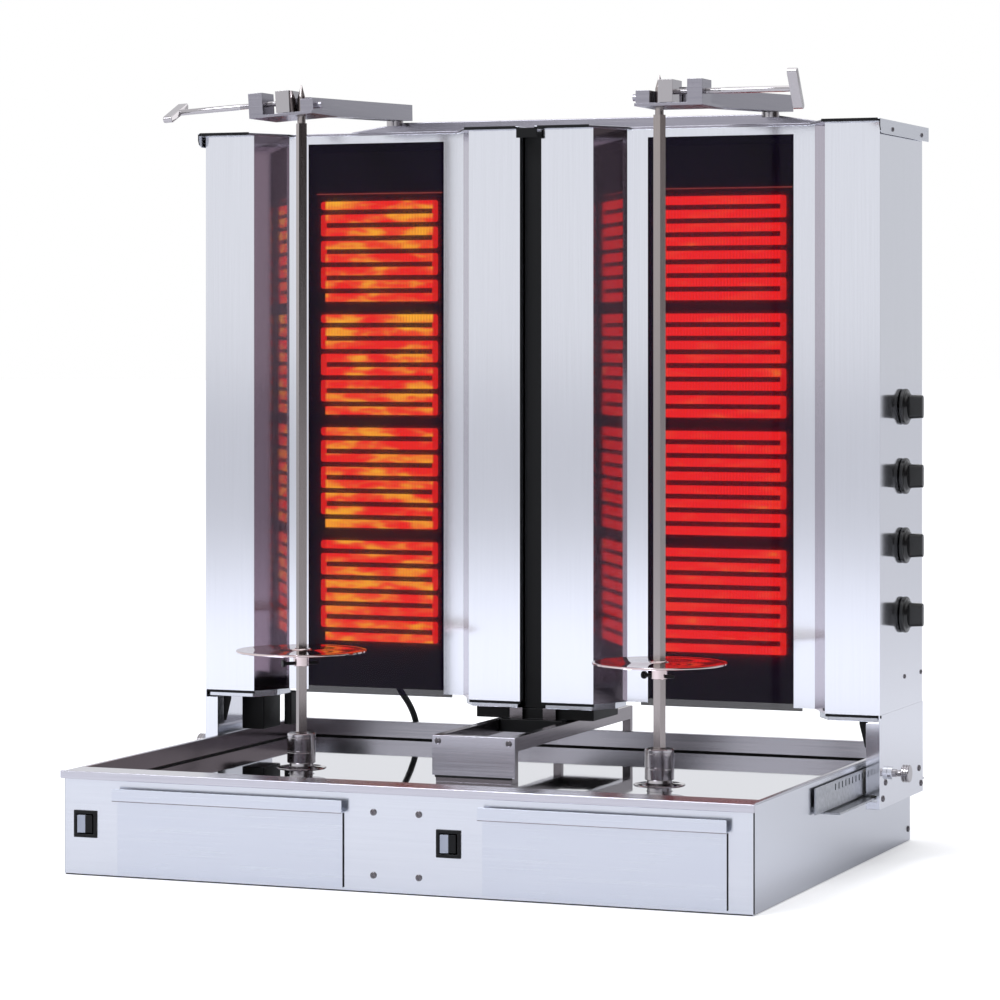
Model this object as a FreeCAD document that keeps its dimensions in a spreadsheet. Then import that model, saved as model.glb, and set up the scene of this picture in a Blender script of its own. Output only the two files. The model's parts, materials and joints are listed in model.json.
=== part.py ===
"""Vertical rotisserie broiler: two electric heater towers on a carriage that slides over a
fixed base, with two motor-driven spits standing in the base's drip tray.

Frame: millimetres, +Z up, the operator at -Y.  The origin is the centre of the base's underside.
Lengths along Y are written from the base's front face and moved to the frame by `block` and
its sisters, because everything on the machine is set out from that face.
"""
import FreeCAD, Part
import Sketcher
import math
import os
import re

doc = FreeCAD.newDocument("vertical_rotisserie_broiler")

# ---------------------------------------------------------------- driving dimensions
SIZES = dict(
    # base and tray
    base_width=1000, base_depth=763, base_height=144, wall=2,
    tray_floor=117, tray_rim=7.4, tray_front=46, tray_rear=10, lip_reach=5, lip_drop=11,
    drawer_inner=77.7, drawer_outer=417.4, drawer_shift=47.1, drawer_low=5, drawer_high=106, drawer_gap=0.4,
    drawer_box_high=60, drawer_depth=400, handle_reach=13, handle_high=123,
    switch_left=-467.6, switch_right=75.9, switch_mid=71, switch_wide=35.5, switch_tall=37.5,
    # spits
    spit_x=272.2, spit_y=288, bar_side=12, bar_foot=150, journal_low=1052, journal_high=1088,
    spit_top=1107, disc_level=292, disc_radius=94, disc_thick=3, pin_level=276,
    hub_radius=20.5, hub_low=133, hub_high=176, neck_radius=17, flange_radius=36,
    drive_radius=10, running_gap=0.3, motor_low=70, motor_high=113,
    # heater towers
    tower_x=272.7, tower_half=255.85, wing_front=497.4, tower_rear=724.5,
    tower_bottom=210.6, tower_top=1048.8, wing_inner=175, frame_outer=143, window_half=111,
    window_plane=555, window_top=1037, glass_low=206, glass_thick=4,
    cap_top=1052.7, cap_over=5, cap_front=480, cap_rear=743.6, cap_drop=20.7,
    zone_pitch=171.2, bar_pitch=19.9, bar_tall=12.4, heater_top=950.3, heater_half=96,
    # carriage under the towers
    leg_low=78, leg_out=528.6, leg_front=496, leg_rear=729, flange_wide=20.6, sheet_thin=2,
    rail_top=95, rack_low=98, rack_high=134, rack_front=261, rack_rear=640,
    slot_first=356, slot_pitch=16.8, slot_count=14, slot_low=121, slot_high=130, slot_wide=5,
    lock_step=11, lock_radius=5.5,
    guide_half=62.8, guide_front=274, guide_rear=767, guide_low=163, guide_high=182.6,
    # spit holders on top
    beam_half=296, beam_foot=416, beam_front=714, beam_thick=26, beam_top=1077,
    arm_wide=38, arm_tall=25, arm_wall=2, arm_front=306, arm_length=432, arm_splay=3.06,
    arm_rise=2.0, arm_root=286, plate_level=1067, clamp_tilt=3.5,
    stud_y=700, stud_radius=6, stud_head=12, stud_collar=13, handle_reach_out=198,
    # knobs
    knob_y=617.8, knob_low=345, knob_pitch=99.8, knob_radius=26, knob_reach=30,
    # link lead
    lead_radius=4.75,
)

sheet = doc.addObject("Spreadsheet::Sheet", "Sizes")
for row, (alias, value) in enumerate(SIZES.items(), start=1):
    sheet.set(f"A{row}", alias)
    sheet.set(f"B{row}", str(value))
    sheet.setAlias(f"B{row}", alias)
doc.recompute()


def size(alias):
    """The sheet's present value of one driving dimension."""
    return float(sheet.get(alias))


def bound(text):
    """An expression with each alias pointed at the sheet."""
    return re.sub(r"\b[a-z][a-z_]+\b", lambda word: "Sizes." + word.group(0)
                  if word.group(0) in SIZES else word.group(0), str(text))


def value_of(text):
    """The number that an expression in the sheet's aliases has now."""
    probe = doc.addObject("App::FeaturePython", "probe")
    probe.addProperty("App::PropertyFloat", "Value")
    probe.setExpression("Value", bound(text))
    probe.recompute()
    number = probe.Value
    doc.removeObject(probe.Name)
    return number


def from_front(text):
    """A distance behind the base's front face, as a frame coordinate."""
    return f"({text}) - base_depth / 2"


def mirrored(side, low_high):
    """A stretch along X, written for the right-hand side, on either side."""
    low, high = low_high
    return (low, high) if side > 0 else (f"-({high})", f"-({low})")


# ---------------------------------------------------------------- shapes bound to the sheet
def block(name, x, y, z, side=1, local=False):
    """A box from its low and high limits along X, Y (from the front face) and Z."""
    item = doc.addObject("Part::Box", name)
    x = mirrored(side, x)
    if not local:
        y = (from_front(y[0]), from_front(y[1]))
    for axis, prop, (low, high) in zip("xyz", ("Length", "Width", "Height"), (x, y, z)):
        item.setExpression("Placement.Base." + axis, bound(low))
        item.setExpression(prop, bound(f"({high}) - ({low})"))
    return item


TURNS = {"x": FreeCAD.Rotation(FreeCAD.Vector(0, 1, 0), 90),
         "y": FreeCAD.Rotation(FreeCAD.Vector(1, 0, 0), -90),
         "z": FreeCAD.Rotation()}


def rod(name, axis, centre, radius, length, side=1, local=False, top_radius=None):
    """A cylinder (or cone) from `centre`, its low end, along an axis of the frame."""
    kind = "Part::Cylinder" if top_radius is None else "Part::Cone"
    item = doc.addObject(kind, name)
    item.Placement = FreeCAD.Placement(FreeCAD.Vector(), TURNS[axis])
    x, y, z = centre
    if side < 0:
        x = f"-({x}) - ({length})" if axis == "x" else f"-({x})"
    if not local:
        y = from_front(y)
    for part, text in zip("xyz", (x, y, z)):
        item.setExpression("Placement.Base." + part, bound(text))
    item.setExpression("Height", bound(length))
    if top_radius is None:
        item.setExpression("Radius", bound(radius))
    else:
        item.setExpression("Radius1", bound(radius))
        item.setExpression("Radius2", bound(top_radius))
    return item


PLANES = {"XY": FreeCAD.Placement(),
          "XZ": FreeCAD.Placement(FreeCAD.Vector(), FreeCAD.Rotation(FreeCAD.Vector(1, 0, 0), 90)),
          "YZ": FreeCAD.Placement(FreeCAD.Vector(),
                                  FreeCAD.Rotation(FreeCAD.Vector(0.57735, 0.57735, 0.57735), 120))}
NORMALS = {"XY": (0, 0, 1), "XZ": (0, 1, 0), "YZ": (1, 0, 0)}


def prism(name, plane, points, start, length, side=1):
    """A closed outline, each corner held by two dimensions, extruded square to its plane."""
    sketch = doc.addObject("Sketcher::SketchObject", name + "_outline")
    sketch.Placement = PLANES[plane]
    corners = []
    for first, second in points:
        if plane in ("XY", "XZ") and side < 0:
            first = f"-({first})"
        if plane == "XY":
            second = from_front(second)
        if plane == "YZ":
            first = from_front(first)
        corners.append((first, second))
    flat = [FreeCAD.Vector(value_of(a), value_of(b), 0) for a, b in corners]
    for index, corner in enumerate(flat):
        sketch.addGeometry(Part.LineSegment(corner, flat[(index + 1) % len(flat)]), False)
    for index in range(len(flat)):
        sketch.addConstraint(Sketcher.Constraint("Coincident", index, 2, (index + 1) % len(flat), 1))
    for index, (first, second) in enumerate(corners):
        for kind, text, number in (("DistanceX", first, flat[index].x),
                                   ("DistanceY", second, flat[index].y)):
            spot = sketch.addConstraint(Sketcher.Constraint(kind, -1, 1, index, 1, number))
            sketch.setExpression(f"Constraints[{spot}]", bound(text))
    item = doc.addObject("Part::Extrusion", name)
    item.Base = sketch
    item.DirMode = "Custom"
    item.Dir = FreeCAD.Vector(*NORMALS[plane])
    item.Solid = True
    item.setExpression("LengthFwd", bound(length))
    if plane == "YZ" and side < 0:
        start = f"-({start}) - ({length})"
    start = from_front(start) if plane == "XZ" else start
    sketch.setExpression("Placement.Base." + {"XY": "z", "XZ": "y", "YZ": "x"}[plane], bound(start))
    return item


def fuse(name, *parts):
    item = doc.addObject("Part::MultiFuse", name)
    item.Shapes = list(parts)
    return item


def cut(name, base, *tools):
    item = doc.addObject("Part::Cut", name)
    item.Base = base
    item.Tool = tools[0] if len(tools) == 1 else fuse(name + "_cutters", *tools)
    return item


def group(name, *parts):
    """Several equal solids that share one node."""
    item = doc.addObject("Part::Compound", name)
    item.Links = list(parts)
    return item


def row(name, source, axis, step, count):
    """Equal copies of a shape, set out in a straight line."""
    item = doc.addObject("Part::Compound", name)
    links = [source]
    for index in range(1, count):
        copy = doc.addObject("Part::Feature", f"{name}_{index}")
        doc.recompute()
        copy.Shape = source.Shape.copy()
        shift = FreeCAD.Vector(*(index * step if letter == axis else 0 for letter in "xyz"))
        copy.Placement = FreeCAD.Placement(copy.Placement.Base + shift, copy.Placement.Rotation)
        links.append(copy)
    item.Links = links
    return item


NODES = {}


def node(name, item):
    """Keep a finished piece under the name of its file."""
    item.Label = name
    NODES[name] = item
    return item


SIDES = (("left", -1), ("right", 1))
PAIRS = {}


def pair(name, item):
    """Add one of the equal pieces, left and right, that share a node."""
    PAIRS.setdefault(name, []).append(item)


# ---------------------------------------------------------------- base: box, floor, tray
outer = block("base_outer", ("-base_width / 2", "base_width / 2"), ("0", "base_depth"),
              ("0", "base_height - wall"))
inner = block("base_inner", ("wall - base_width / 2", "base_width / 2 - wall"),
              ("wall", "base_depth - wall"), ("-1", "base_height"))
# the right-hand drawer stands further out than the left-hand one
openings = [block("left_drawer_hole", ("3 - drawer_outer", "-drawer_inner - 3"), ("-1", "wall + 1"),
                  ("drawer_low + 2", "drawer_high - 6")),
            block("right_drawer_hole", ("drawer_inner + drawer_shift + 3",
                                        "drawer_outer + drawer_shift - 3"), ("-1", "wall + 1"),
                  ("drawer_low + 2", "drawer_high - 6"))]
for name in ("left", "right"):
    openings.append(block(f"{name}_switch_hole",
                          (f"switch_{name} - switch_wide / 2 + 3", f"switch_{name} + switch_wide / 2 - 3"),
                          ("-1", "wall + 1"),
                          ("switch_mid - switch_tall / 2 + 3", "switch_mid + switch_tall / 2 - 3")))
screw_spots = [("front", -33, 108), ("front", 33, 108), ("front", -33, 23.6), ("front", 33, 23.6)]
node("base_housing", cut("base_housing_cut", outer, *openings, inner))

node("base_floor", block("base_floor_plate", ("wall - base_width / 2", "base_width / 2 - wall"),
                         ("wall", "base_depth - wall"), ("0", "wall")))

rim = block("tray_rim_plate", ("-base_width / 2", "base_width / 2"), ("0", "base_depth"),
            ("base_height - wall", "base_height"))
lip = block("tray_lip", ("-base_width / 2 - lip_reach", "base_width / 2 + lip_reach / 2"),
            ("-lip_reach", "0"), ("base_height - lip_drop", "base_height"))
pan = block("tray_pan", ("tray_rim - wall - base_width / 2", "base_width / 2 - tray_rim + wall"),
            ("tray_front - wall", "base_depth - tray_rear + wall"),
            ("tray_floor - wall", "base_height - wall / 2"))
hollow = block("tray_hollow", ("tray_rim - base_width / 2", "base_width / 2 - tray_rim"),
               ("tray_front", "base_depth - tray_rear"), ("tray_floor", "base_height + 1"))
neck_holes = [rod(f"{name}_neck_hole", "z", ("spit_x", "spit_y", "tray_floor - 10"),
                  "neck_radius + 1", "20", side) for name, side in SIDES]
node("drip_tray", cut("drip_tray_cut", fuse("tray_sheet", rim, lip, pan), hollow, *neck_holes))

# ---------------------------------------------------------------- drawers and their runners
runners = []
for name in ("left", "right"):
    low = "-drawer_outer" if name == "left" else "drawer_inner + drawer_shift"
    high = "-drawer_inner" if name == "left" else "drawer_outer + drawer_shift"
    front = block(f"{name}_drawer_face", (low, high), ("-drawer_gap - 1.6", "-drawer_gap"),
                  ("drawer_low", "drawer_high + 2"))
    shelf = block(f"{name}_drawer_shelf", (f"{low} - 3", f"{high} + 3"),
                  ("-handle_reach", "-drawer_gap"), ("drawer_high", "drawer_high + 1.6"))
    hook = block(f"{name}_drawer_hook", (f"{low} - 3", f"{high} + 3"),
                 ("-handle_reach", "-handle_reach + 1.6"), ("drawer_high", "handle_high"))
    box = block(f"{name}_drawer_body", (f"{low} + 6", f"{high} - 6"),
                ("-drawer_gap - 1", "drawer_depth"), ("drawer_low + 4", "drawer_box_high"))
    void = block(f"{name}_drawer_void", (f"{low} + 7.5", f"{high} - 7.5"),
                 ("0", "drawer_depth - 1.5"), ("drawer_low + 5.5", "drawer_box_high + 1"))
    shell = cut(f"{name}_drawer_shell", box, void)
    node(f"{name}_drawer", fuse(f"{name}_drawer_all", front, shelf, hook, shell))
    for edge, inward in ((low, 1), (high, -1)):
        near = f"{edge} + {2.5 * inward}"
        far = f"{edge} + {5.5 * inward}"
        foot = f"{edge} + {16 * inward}"
        x_wall = (near, far) if inward > 0 else (far, near)
        x_foot = (near, foot) if inward > 0 else (foot, near)
        upright = block(f"{name}_runner_wall_{inward + 1}", x_wall, ("12", "drawer_depth + 20"),
                        ("wall", "40"))
        ledge = block(f"{name}_runner_ledge_{inward + 1}", x_foot, ("12", "drawer_depth + 20"),
                      ("drawer_low + 0.5", "drawer_low + 3.7"))
        runners.append(fuse(f"{name}_runner_{inward + 1}", upright, ledge))
node("drawer_runners", group("drawer_runner_set", *runners))

# ---------------------------------------------------------------- rocker switches
for name in ("left", "right"):
    mid = f"switch_{name}"
    bezel = block(f"{name}_bezel", (f"{mid} - switch_wide / 2", f"{mid} + switch_wide / 2"),
                  ("-2.2", "0"), ("switch_mid - switch_tall / 2", "switch_mid + switch_tall / 2"))
    body = block(f"{name}_switch_body",
                 (f"{mid} - switch_wide / 2 + 3.5", f"{mid} + switch_wide / 2 - 3.5"), ("-1", "24"),
                 ("switch_mid - switch_tall / 2 + 3.5", "switch_mid + switch_tall / 2 - 3.5"))
    well = block(f"{name}_switch_well",
                 (f"{mid} - switch_wide / 2 + 5", f"{mid} + switch_wide / 2 - 5"), ("-5", "14"),
                 ("switch_mid - switch_tall / 2 + 5", "switch_mid + switch_tall / 2 - 5"))
    node(f"{name}_switch_housing", cut(f"{name}_switch_cut", fuse(f"{name}_switch_all", bezel, body),
                                       well))
    # a rocker: a shallow V that tips about a line across its back
    reach = "switch_wide / 2 - 6"
    rocker = prism(f"{name}_rocker_shape", "XY",
                   [(f"{mid} - ({reach})", "-5.2"), (f"{mid}", "-1.6"), (f"{mid} + {reach}", "-1.6"),
                    (f"{mid} + {reach} - 1.4", "3.5"), (f"{mid} + 3", "8"), (f"{mid} - 3", "8"),
                    (f"{mid} - ({reach}) + 1.4", "3.5")],
                   "switch_mid - switch_tall / 2 + 5.5", "switch_tall - 11")
    node(f"{name}_rocker", rocker)

# ---------------------------------------------------------------- spit drives and spits
for name, side in SIDES:
    case = block(f"{name}_gearcase", ("spit_x - 37", "spit_x + 37"), ("spit_y - 37", "spit_y + 37"),
                 ("motor_low", "motor_high"), side)
    bell = rod(f"{name}_motor_can", "y", ("spit_x", "spit_y + 36", "motor_low + 21"), "20", "70", side)
    bore = rod(f"{name}_motor_bore", "z", ("spit_x", "spit_y", "motor_low + 6"),
               "drive_radius + 0.05", "60", side)
    pair("spit_motors", cut(f"{name}_motor_cut", fuse(f"{name}_motor_all", case, bell), bore))

    shaft = rod(f"{name}_hub_shaft", "z", ("spit_x", "spit_y", "motor_low + 8"), "drive_radius",
                "tray_floor - motor_low", side)
    neck = rod(f"{name}_hub_neck", "z", ("spit_x", "spit_y", "motor_high + 1"), "neck_radius",
               "hub_low - motor_high", side)
    flange = rod(f"{name}_hub_flange", "z", ("spit_x", "spit_y", "124.5"), "flange_radius", "2.5", side)
    cup = rod(f"{name}_hub_cup", "z", ("spit_x", "spit_y", "hub_low"), "hub_radius",
              "hub_high - hub_low", side)
    socket = rod(f"{name}_hub_socket", "z", ("spit_x", "spit_y", "bar_foot"),
                 "bar_side * 0.7071 + 0.2", "40", side)
    node(f"{name}_spit_hub", cut(f"{name}_hub_cut",
                                 fuse(f"{name}_hub_all", shaft, neck, flange, cup), socket))

    bar = block(f"{name}_bar", ("-bar_side / 2", "bar_side / 2"), ("-bar_side / 2", "bar_side / 2"),
                ("bar_foot", "journal_low"), local=True)
    journal = rod(f"{name}_journal", "z", ("0", "0", "journal_low"), "bar_side / 2",
                  "journal_high - journal_low", local=True)
    tip = rod(f"{name}_tip", "z", ("0", "0", "journal_high"), "bar_side / 2",
              "spit_top - journal_high", local=True, top_radius="0.6")
    pin_hole = rod(f"{name}_pin_hole", "x", ("-20", "0", "pin_level"), "2.65", "40", local=True)
    spit = cut(f"{name}_spit_cut", fuse(f"{name}_spit_all", bar, journal, tip), pin_hole)
    place = FreeCAD.Vector(side * size("spit_x"), size("spit_y") - size("base_depth") / 2, 0)
    turn = 44 if side < 0 else -19.4
    spit.Placement = FreeCAD.Placement(place, FreeCAD.Rotation(FreeCAD.Vector(0, 0, 1), turn))
    node(f"{name}_spit", spit)

    plate = rod(f"{name}_disc_plate", "z", ("0", "0", "disc_level"), "disc_radius", "disc_thick",
                local=True)
    collar = rod(f"{name}_disc_collar", "z", ("0", "0", "pin_level - 4"), "11.5",
                 "disc_level - pin_level + 4.1", local=True)
    stem = rod(f"{name}_pin_stem", "x", ("-24", "0", "pin_level"), "2.6", "50", local=True)
    ring = rod(f"{name}_pin_head", "x", ("-28", "0", "pin_level"), "5.5", "5", local=True)
    hole = block(f"{name}_disc_hole", ("-bar_side / 2 - 0.2", "bar_side / 2 + 0.2"),
                 ("-bar_side / 2 - 0.2", "bar_side / 2 + 0.2"), ("pin_level - 10", "disc_level + 20"),
                 local=True)
    disc = fuse(f"{name}_disc_all", cut(f"{name}_disc_cut", fuse(f"{name}_disc_round", plate, collar), hole),
                stem, ring)
    disc.Placement = FreeCAD.Placement(place, FreeCAD.Rotation(FreeCAD.Vector(0, 0, 1), turn))
    node(f"{name}_spit_disc", disc)

# ---------------------------------------------------------------- heater towers
for name, side in SIDES:
    def across(text):
        """An X place inside this tower, from the tower's own centre line outward."""
        return f"tower_x + ({text})"

    outline = [(across("-tower_half"), "tower_rear"), (across("tower_half"), "tower_rear"),
               (across("tower_half"), "wing_front"), (across("wing_inner"), "wing_front"),
               (across("frame_outer"), "window_plane"), (across("-frame_outer"), "window_plane"),
               (across("-wing_inner"), "wing_front"), (across("-tower_half"), "wing_front")]
    lining = [(across("wall - tower_half"), "tower_rear - wall"),
              (across("tower_half - wall"), "tower_rear - wall"),
              (across("tower_half - wall"), "wing_front + wall"),
              (across("wing_inner + 1.1"), "wing_front + wall"),
              (across("frame_outer + 1.1"), "window_plane + wall"),
              (across("-frame_outer - 1.1"), "window_plane + wall"),
              (across("-wing_inner - 1.1"), "wing_front + wall"),
              (across("wall - tower_half"), "wing_front + wall")]
    skin = prism(f"{name}_tower_outer", "XY", outline, "tower_bottom", "tower_top - tower_bottom", side)
    core = prism(f"{name}_tower_inner", "XY", lining, "tower_bottom - 1",
                 "tower_top - tower_bottom + 2", side)
    window = block(f"{name}_window", (across("-window_half"), across("window_half")),
                   ("window_plane - 5", "window_plane + wall + 3"), ("tower_bottom - 2", "window_top"),
                   side)
    shaft_holes = [rod(f"{name}_shaft_hole_{index}", "x",
                       (across("tower_half - wall - 5"), "knob_y", f"knob_low + {index} * knob_pitch"),
                       "5", "12", side) for index in range(4)]
    node(f"{name}_tower_casing", cut(f"{name}_casing_cut", skin, core, window, *shaft_holes))

    glass = block(f"{name}_glass_pane", (across("-window_half - 12"), across("window_half + 12")),
                  ("window_plane + wall + 0.2", "window_plane + wall + 0.2 + glass_thick"),
                  ("glass_low", "window_top + 8"), side)
    pair("window_glasses", glass)

    zones = []
    for zone in range(4):
        bars, top = [], f"heater_top - {zone} * zone_pitch"
        for index in range(8):
            high = f"{top} - {index} * bar_pitch"
            bars.append(block(f"{name}_element_{zone}_{index}",
                              (across("-heater_half"), across("heater_half")),
                              ("window_plane + 12", "window_plane + 16"),
                              (f"{high} - bar_tall", high), side))
            if index < 7:
                # the strip turns back at alternate ends, first on the machine's right
                at_right = (index % 2 == 0) == (side > 0)
                x = (across("heater_half - bar_tall"), across("heater_half")) if at_right else \
                    (across("-heater_half"), across("bar_tall - heater_half"))
                bars.append(block(f"{name}_turn_{zone}_{index}", x,
                                  ("window_plane + 12", "window_plane + 16"),
                                  (f"{high} - bar_pitch - 1", f"{high} - bar_tall + 1"), side))
        zones.append(fuse(f"{name}_zone_{zone}", *bars))
    pair("heating_elements", group(f"{name}_element_set", *zones))

    board = block(f"{name}_board", (across("-window_half - 12"), across("window_half + 12")),
                  ("window_plane + 17", "window_plane + 42"), ("tower_bottom + 4", "window_top - 12"),
                  side)
    pair("heater_boards", board)

    # the cap follows the plan of the wings and folds down along both sides
    half = "tower_half + cap_over"
    plan = [(across(f"-({half})"), "cap_rear"), (across(half), "cap_rear"), (across(half), "cap_front"),
            (across("wing_inner + 2"), "cap_front"), (across("frame_outer - 4"), "window_plane - 11"),
            (across("frame_outer - 4"), "window_plane + 1"),
            (across("4 - frame_outer"), "window_plane + 1"),
            (across("4 - frame_outer"), "window_plane - 11"),
            (across("-wing_inner - 2"), "cap_front"), (across(f"-({half})"), "cap_front")]
    lid = prism(f"{name}_cap_lid", "XY", plan, "tower_top + 0.1", "cap_top - tower_top - 0.1", side)
    skirt = prism(f"{name}_cap_skirt", "YZ",
                  [("cap_rear", "cap_top - 1"), ("cap_rear", "cap_top - cap_drop"),
                   ("cap_front + 12", "cap_top - cap_drop"), ("cap_front + 4", "cap_top - cap_drop + 3"),
                   ("cap_front", "cap_top - cap_drop + 10"), ("cap_front", "cap_top - 1")],
                  across("tower_half + cap_over - 1.5"), "1.5", side)
    pair("tower_caps", fuse(f"{name}_cap_all", lid, skirt))

    pans = [prism(f"{name}_pan_{which}", "XY",
                  [(across(f"{flip} * (tower_half - 5)"), "wing_front + 4"),
                   (across(f"{flip} * (wing_inner + 4)"), "wing_front + 4"),
                   (across(f"{flip} * (frame_outer + 12)"), "wing_front + 40"),
                   (across(f"{flip} * (frame_outer + 12)"), "window_plane + 30"),
                   (across(f"{flip} * (tower_half - 5)"), "window_plane + 30")],
                  "tower_bottom - 9.6", "9.6", side)
            for which, flip in (("inner", -1), ("outer", 1))]
    pair("wing_pans", group(f"{name}_pan_set", *pans))

    # side plate with its front flange, carrying the rack lock's bush
    plate = block(f"{name}_leg_plate", ("leg_out - sheet_thin", "leg_out"), ("leg_front", "leg_rear"),
                  ("leg_low", "tower_bottom"), side)
    flange = block(f"{name}_leg_flange", ("leg_out - flange_wide", "leg_out - 1"),
                   ("leg_front", "leg_front + sheet_thin"), ("leg_low", "tower_bottom - 11"), side)
    lock_y = "slot_first + lock_step * slot_pitch"
    lock_z = "(slot_low + slot_high) / 2"
    bush = rod(f"{name}_lock_bush", "x", ("leg_out - 1", lock_y, lock_z), "lock_radius + 3.5", "8", side)
    bore = rod(f"{name}_lock_bore", "x", ("leg_out - 20", lock_y, lock_z), "lock_radius + 0.06", "40",
               side)
    notch = block(f"{name}_rail_notch", ("leg_out - flange_wide - 2", "base_width / 2 + 23.5"),
                  ("leg_front - 5", "leg_front + 8"), ("rail_top - 6", "rail_top + 3"), side)
    node(f"{name}_side_plate", cut(f"{name}_side_plate_cut",
                                   fuse(f"{name}_side_plate_all", plate, flange, bush), bore, notch))

    stem = rod(f"{name}_lock_stem", "x", ("leg_out - 10", lock_y, lock_z), "lock_radius", "32", side)
    tip = rod(f"{name}_lock_tip", "x", ("base_width / 2 + 7", lock_y, lock_z), "slot_wide / 2 - 0.3",
              "16", side)
    head = rod(f"{name}_lock_head", "x", ("leg_out + 21", lock_y, lock_z), "12.5", "11", side)
    node(f"{name}_lock_plunger", fuse(f"{name}_lock_all", stem, tip, head))

    # slotted rack on the side of the base, standing off on two studs, and the rail below it
    strip = block(f"{name}_rack_strip", ("base_width / 2 + 3", "base_width / 2 + 5"),
                  ("rack_front", "rack_rear"), ("rack_low", "rack_high"), side)
    studs = [rod(f"{name}_rack_stud_{place}", "x", ("base_width / 2", place, "104"), "4", "4", side)
             for place in ("rack_front + 12", "rack_rear - 12")]
    slot = block(f"{name}_rack_slot", ("base_width / 2 + 1", "base_width / 2 + 9"),
                 ("slot_first - slot_wide / 2", "slot_first + slot_wide / 2"), ("slot_low", "slot_high"),
                 side)
    slots = row(f"{name}_rack_slots", slot, "y", size("slot_pitch"), int(size("slot_count")))
    pair("lock_racks", cut(f"{name}_rack_cut", fuse(f"{name}_rack_all", strip, *studs), slots))
    pair("carriage_rails", block(f"{name}_rail_bar", ("base_width / 2", "base_width / 2 + 22"),
                                 ("320", "base_depth - 4"), ("rail_top - 3", "rail_top"), side))

# nylon glides on the side plates ride on the rails
glides = [block(f"{name}_glide_{place}", ("leg_out - sheet_thin - 16", "leg_out - sheet_thin"),
                (f"{place} - 14", f"{place} + 14"), ("rail_top + 0.1", "rail_top + 34"), side)
          for name, side in SIDES for place in (526, 707)]
glides = [cut(f"glide_{index}_bored", glide,
              rod(f"glide_{index}_relief", "x", ("leg_out - 20", "slot_first + lock_step * slot_pitch",
                                                 "(slot_low + slot_high) / 2"), "7", "30",
                  -1 if index < 2 else 1))
          for index, glide in enumerate(glides)]
node("carriage_glides", group("glide_set", *glides))

# ---------------------------------------------------------------- regulators and control knobs
regulators = []
for name, side in SIDES:
    for index in range(4):
        level = f"knob_low + {index} * knob_pitch"
        skin_x = "tower_x + tower_half"
        body = block(f"{name}_regulator_{index}_body", (f"{skin_x} - wall - 34", f"{skin_x} - wall"),
                     ("knob_y - 20", "knob_y + 20"), (f"{level} - 20", f"{level} + 20"), side)
        socket = rod(f"{name}_regulator_{index}_bore", "x", (f"{skin_x} - wall - 20", "knob_y", level),
                     "3.05", "30", side)
        regulators.append(cut(f"{name}_regulator_{index}", body, socket))
        skirt = rod(f"{name}_knob_{index}_skirt", "x", (f"{skin_x} + 0.5", "knob_y", level),
                    "knob_radius", "7", side)
        drum = rod(f"{name}_knob_{index}_drum", "x", (f"{skin_x} + 7", "knob_y", level),
                   "knob_radius - 5.5", "5", side)
        grip = block(f"{name}_knob_{index}_grip", (f"{skin_x} + 7", f"{skin_x} + knob_reach"),
                     ("knob_y - 6", "knob_y + 6"), (f"{level} - 17", f"{level} + 17"), side)
        spindle = rod(f"{name}_knob_{index}_spindle", "x", (f"{skin_x} - 18", "knob_y", level), "3",
                      "20", side)
        node(f"{name}_knob_{index + 1}", fuse(f"{name}_knob_{index}_all", skirt, drum, grip, spindle))
node("regulators", group("regulator_set", *regulators))

# ---------------------------------------------------------------- centre guide, post and slider
frame_bar = block("guide_block", ("-guide_half", "guide_half"), ("guide_front + 2", "guide_rear"),
                  ("guide_low", "guide_high"))
slot = block("guide_slot", ("12.8 - guide_half", "guide_half - 12.8"),
             ("guide_front + 16", "guide_rear - 12"), ("guide_low - 1", "guide_high + 1"))
foot = block("guide_foot", ("4.8 - guide_half", "guide_half - 4.8"), ("guide_front + 2", "guide_front + 26"),
             ("tray_floor", "guide_low + 1"))
posts = [block(f"{name}_guide_post", ("guide_half - 12.8", "guide_half"),
               ("base_depth - tray_rear + wall + 1", "guide_rear"), ("base_height", "guide_low + 1"), side)
         for name, side in SIDES]
node("centre_guide", fuse("centre_guide_all", cut("guide_frame", frame_bar, slot), foot, *posts))
node("guide_cover", block("guide_cover_plate", ("-guide_half", "guide_half"),
                          ("guide_front", "guide_front + 2"), ("126", "guide_high")))
key = block("slider_key", ("13.6 - guide_half", "guide_half - 13.6"), ("500", "600"),
            ("guide_low + 2", "guide_high + 1.5"))
saddle = block("slider_saddle", ("-92", "92"), ("514", "620"), ("guide_high + 1.5", "tower_bottom - 11"))
node("guide_slider", fuse("guide_slider_all", key, saddle))
inner_gap = "tower_x - tower_half"
node("centre_post", block("centre_post_bar", (f"1 - ({inner_gap})", f"{inner_gap} - 1"), ("514", "600"),
                          ("tower_bottom - 11", "tower_top - 2")))
brackets = [fuse(f"{name}_bracket",
                 block(f"{name}_bracket_drop", (f"{inner_gap} - 0.9", "36"), ("505", "508"),
                       ("guide_high + 1.5", "tower_bottom - 9.8"), side),
                 block(f"{name}_bracket_foot", (f"{inner_gap} - 0.9", "36"), ("507", "514"),
                       ("guide_high + 1.5", "guide_high + 4"), side))
            for name, side in SIDES]
node("post_brackets", group("post_bracket_pair", *brackets))

node("wiring_box", block("wiring_box_shell", ("461", "498"), ("560", "620"),
                         ("base_height + 2", "tower_bottom - 10"), -1))

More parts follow.
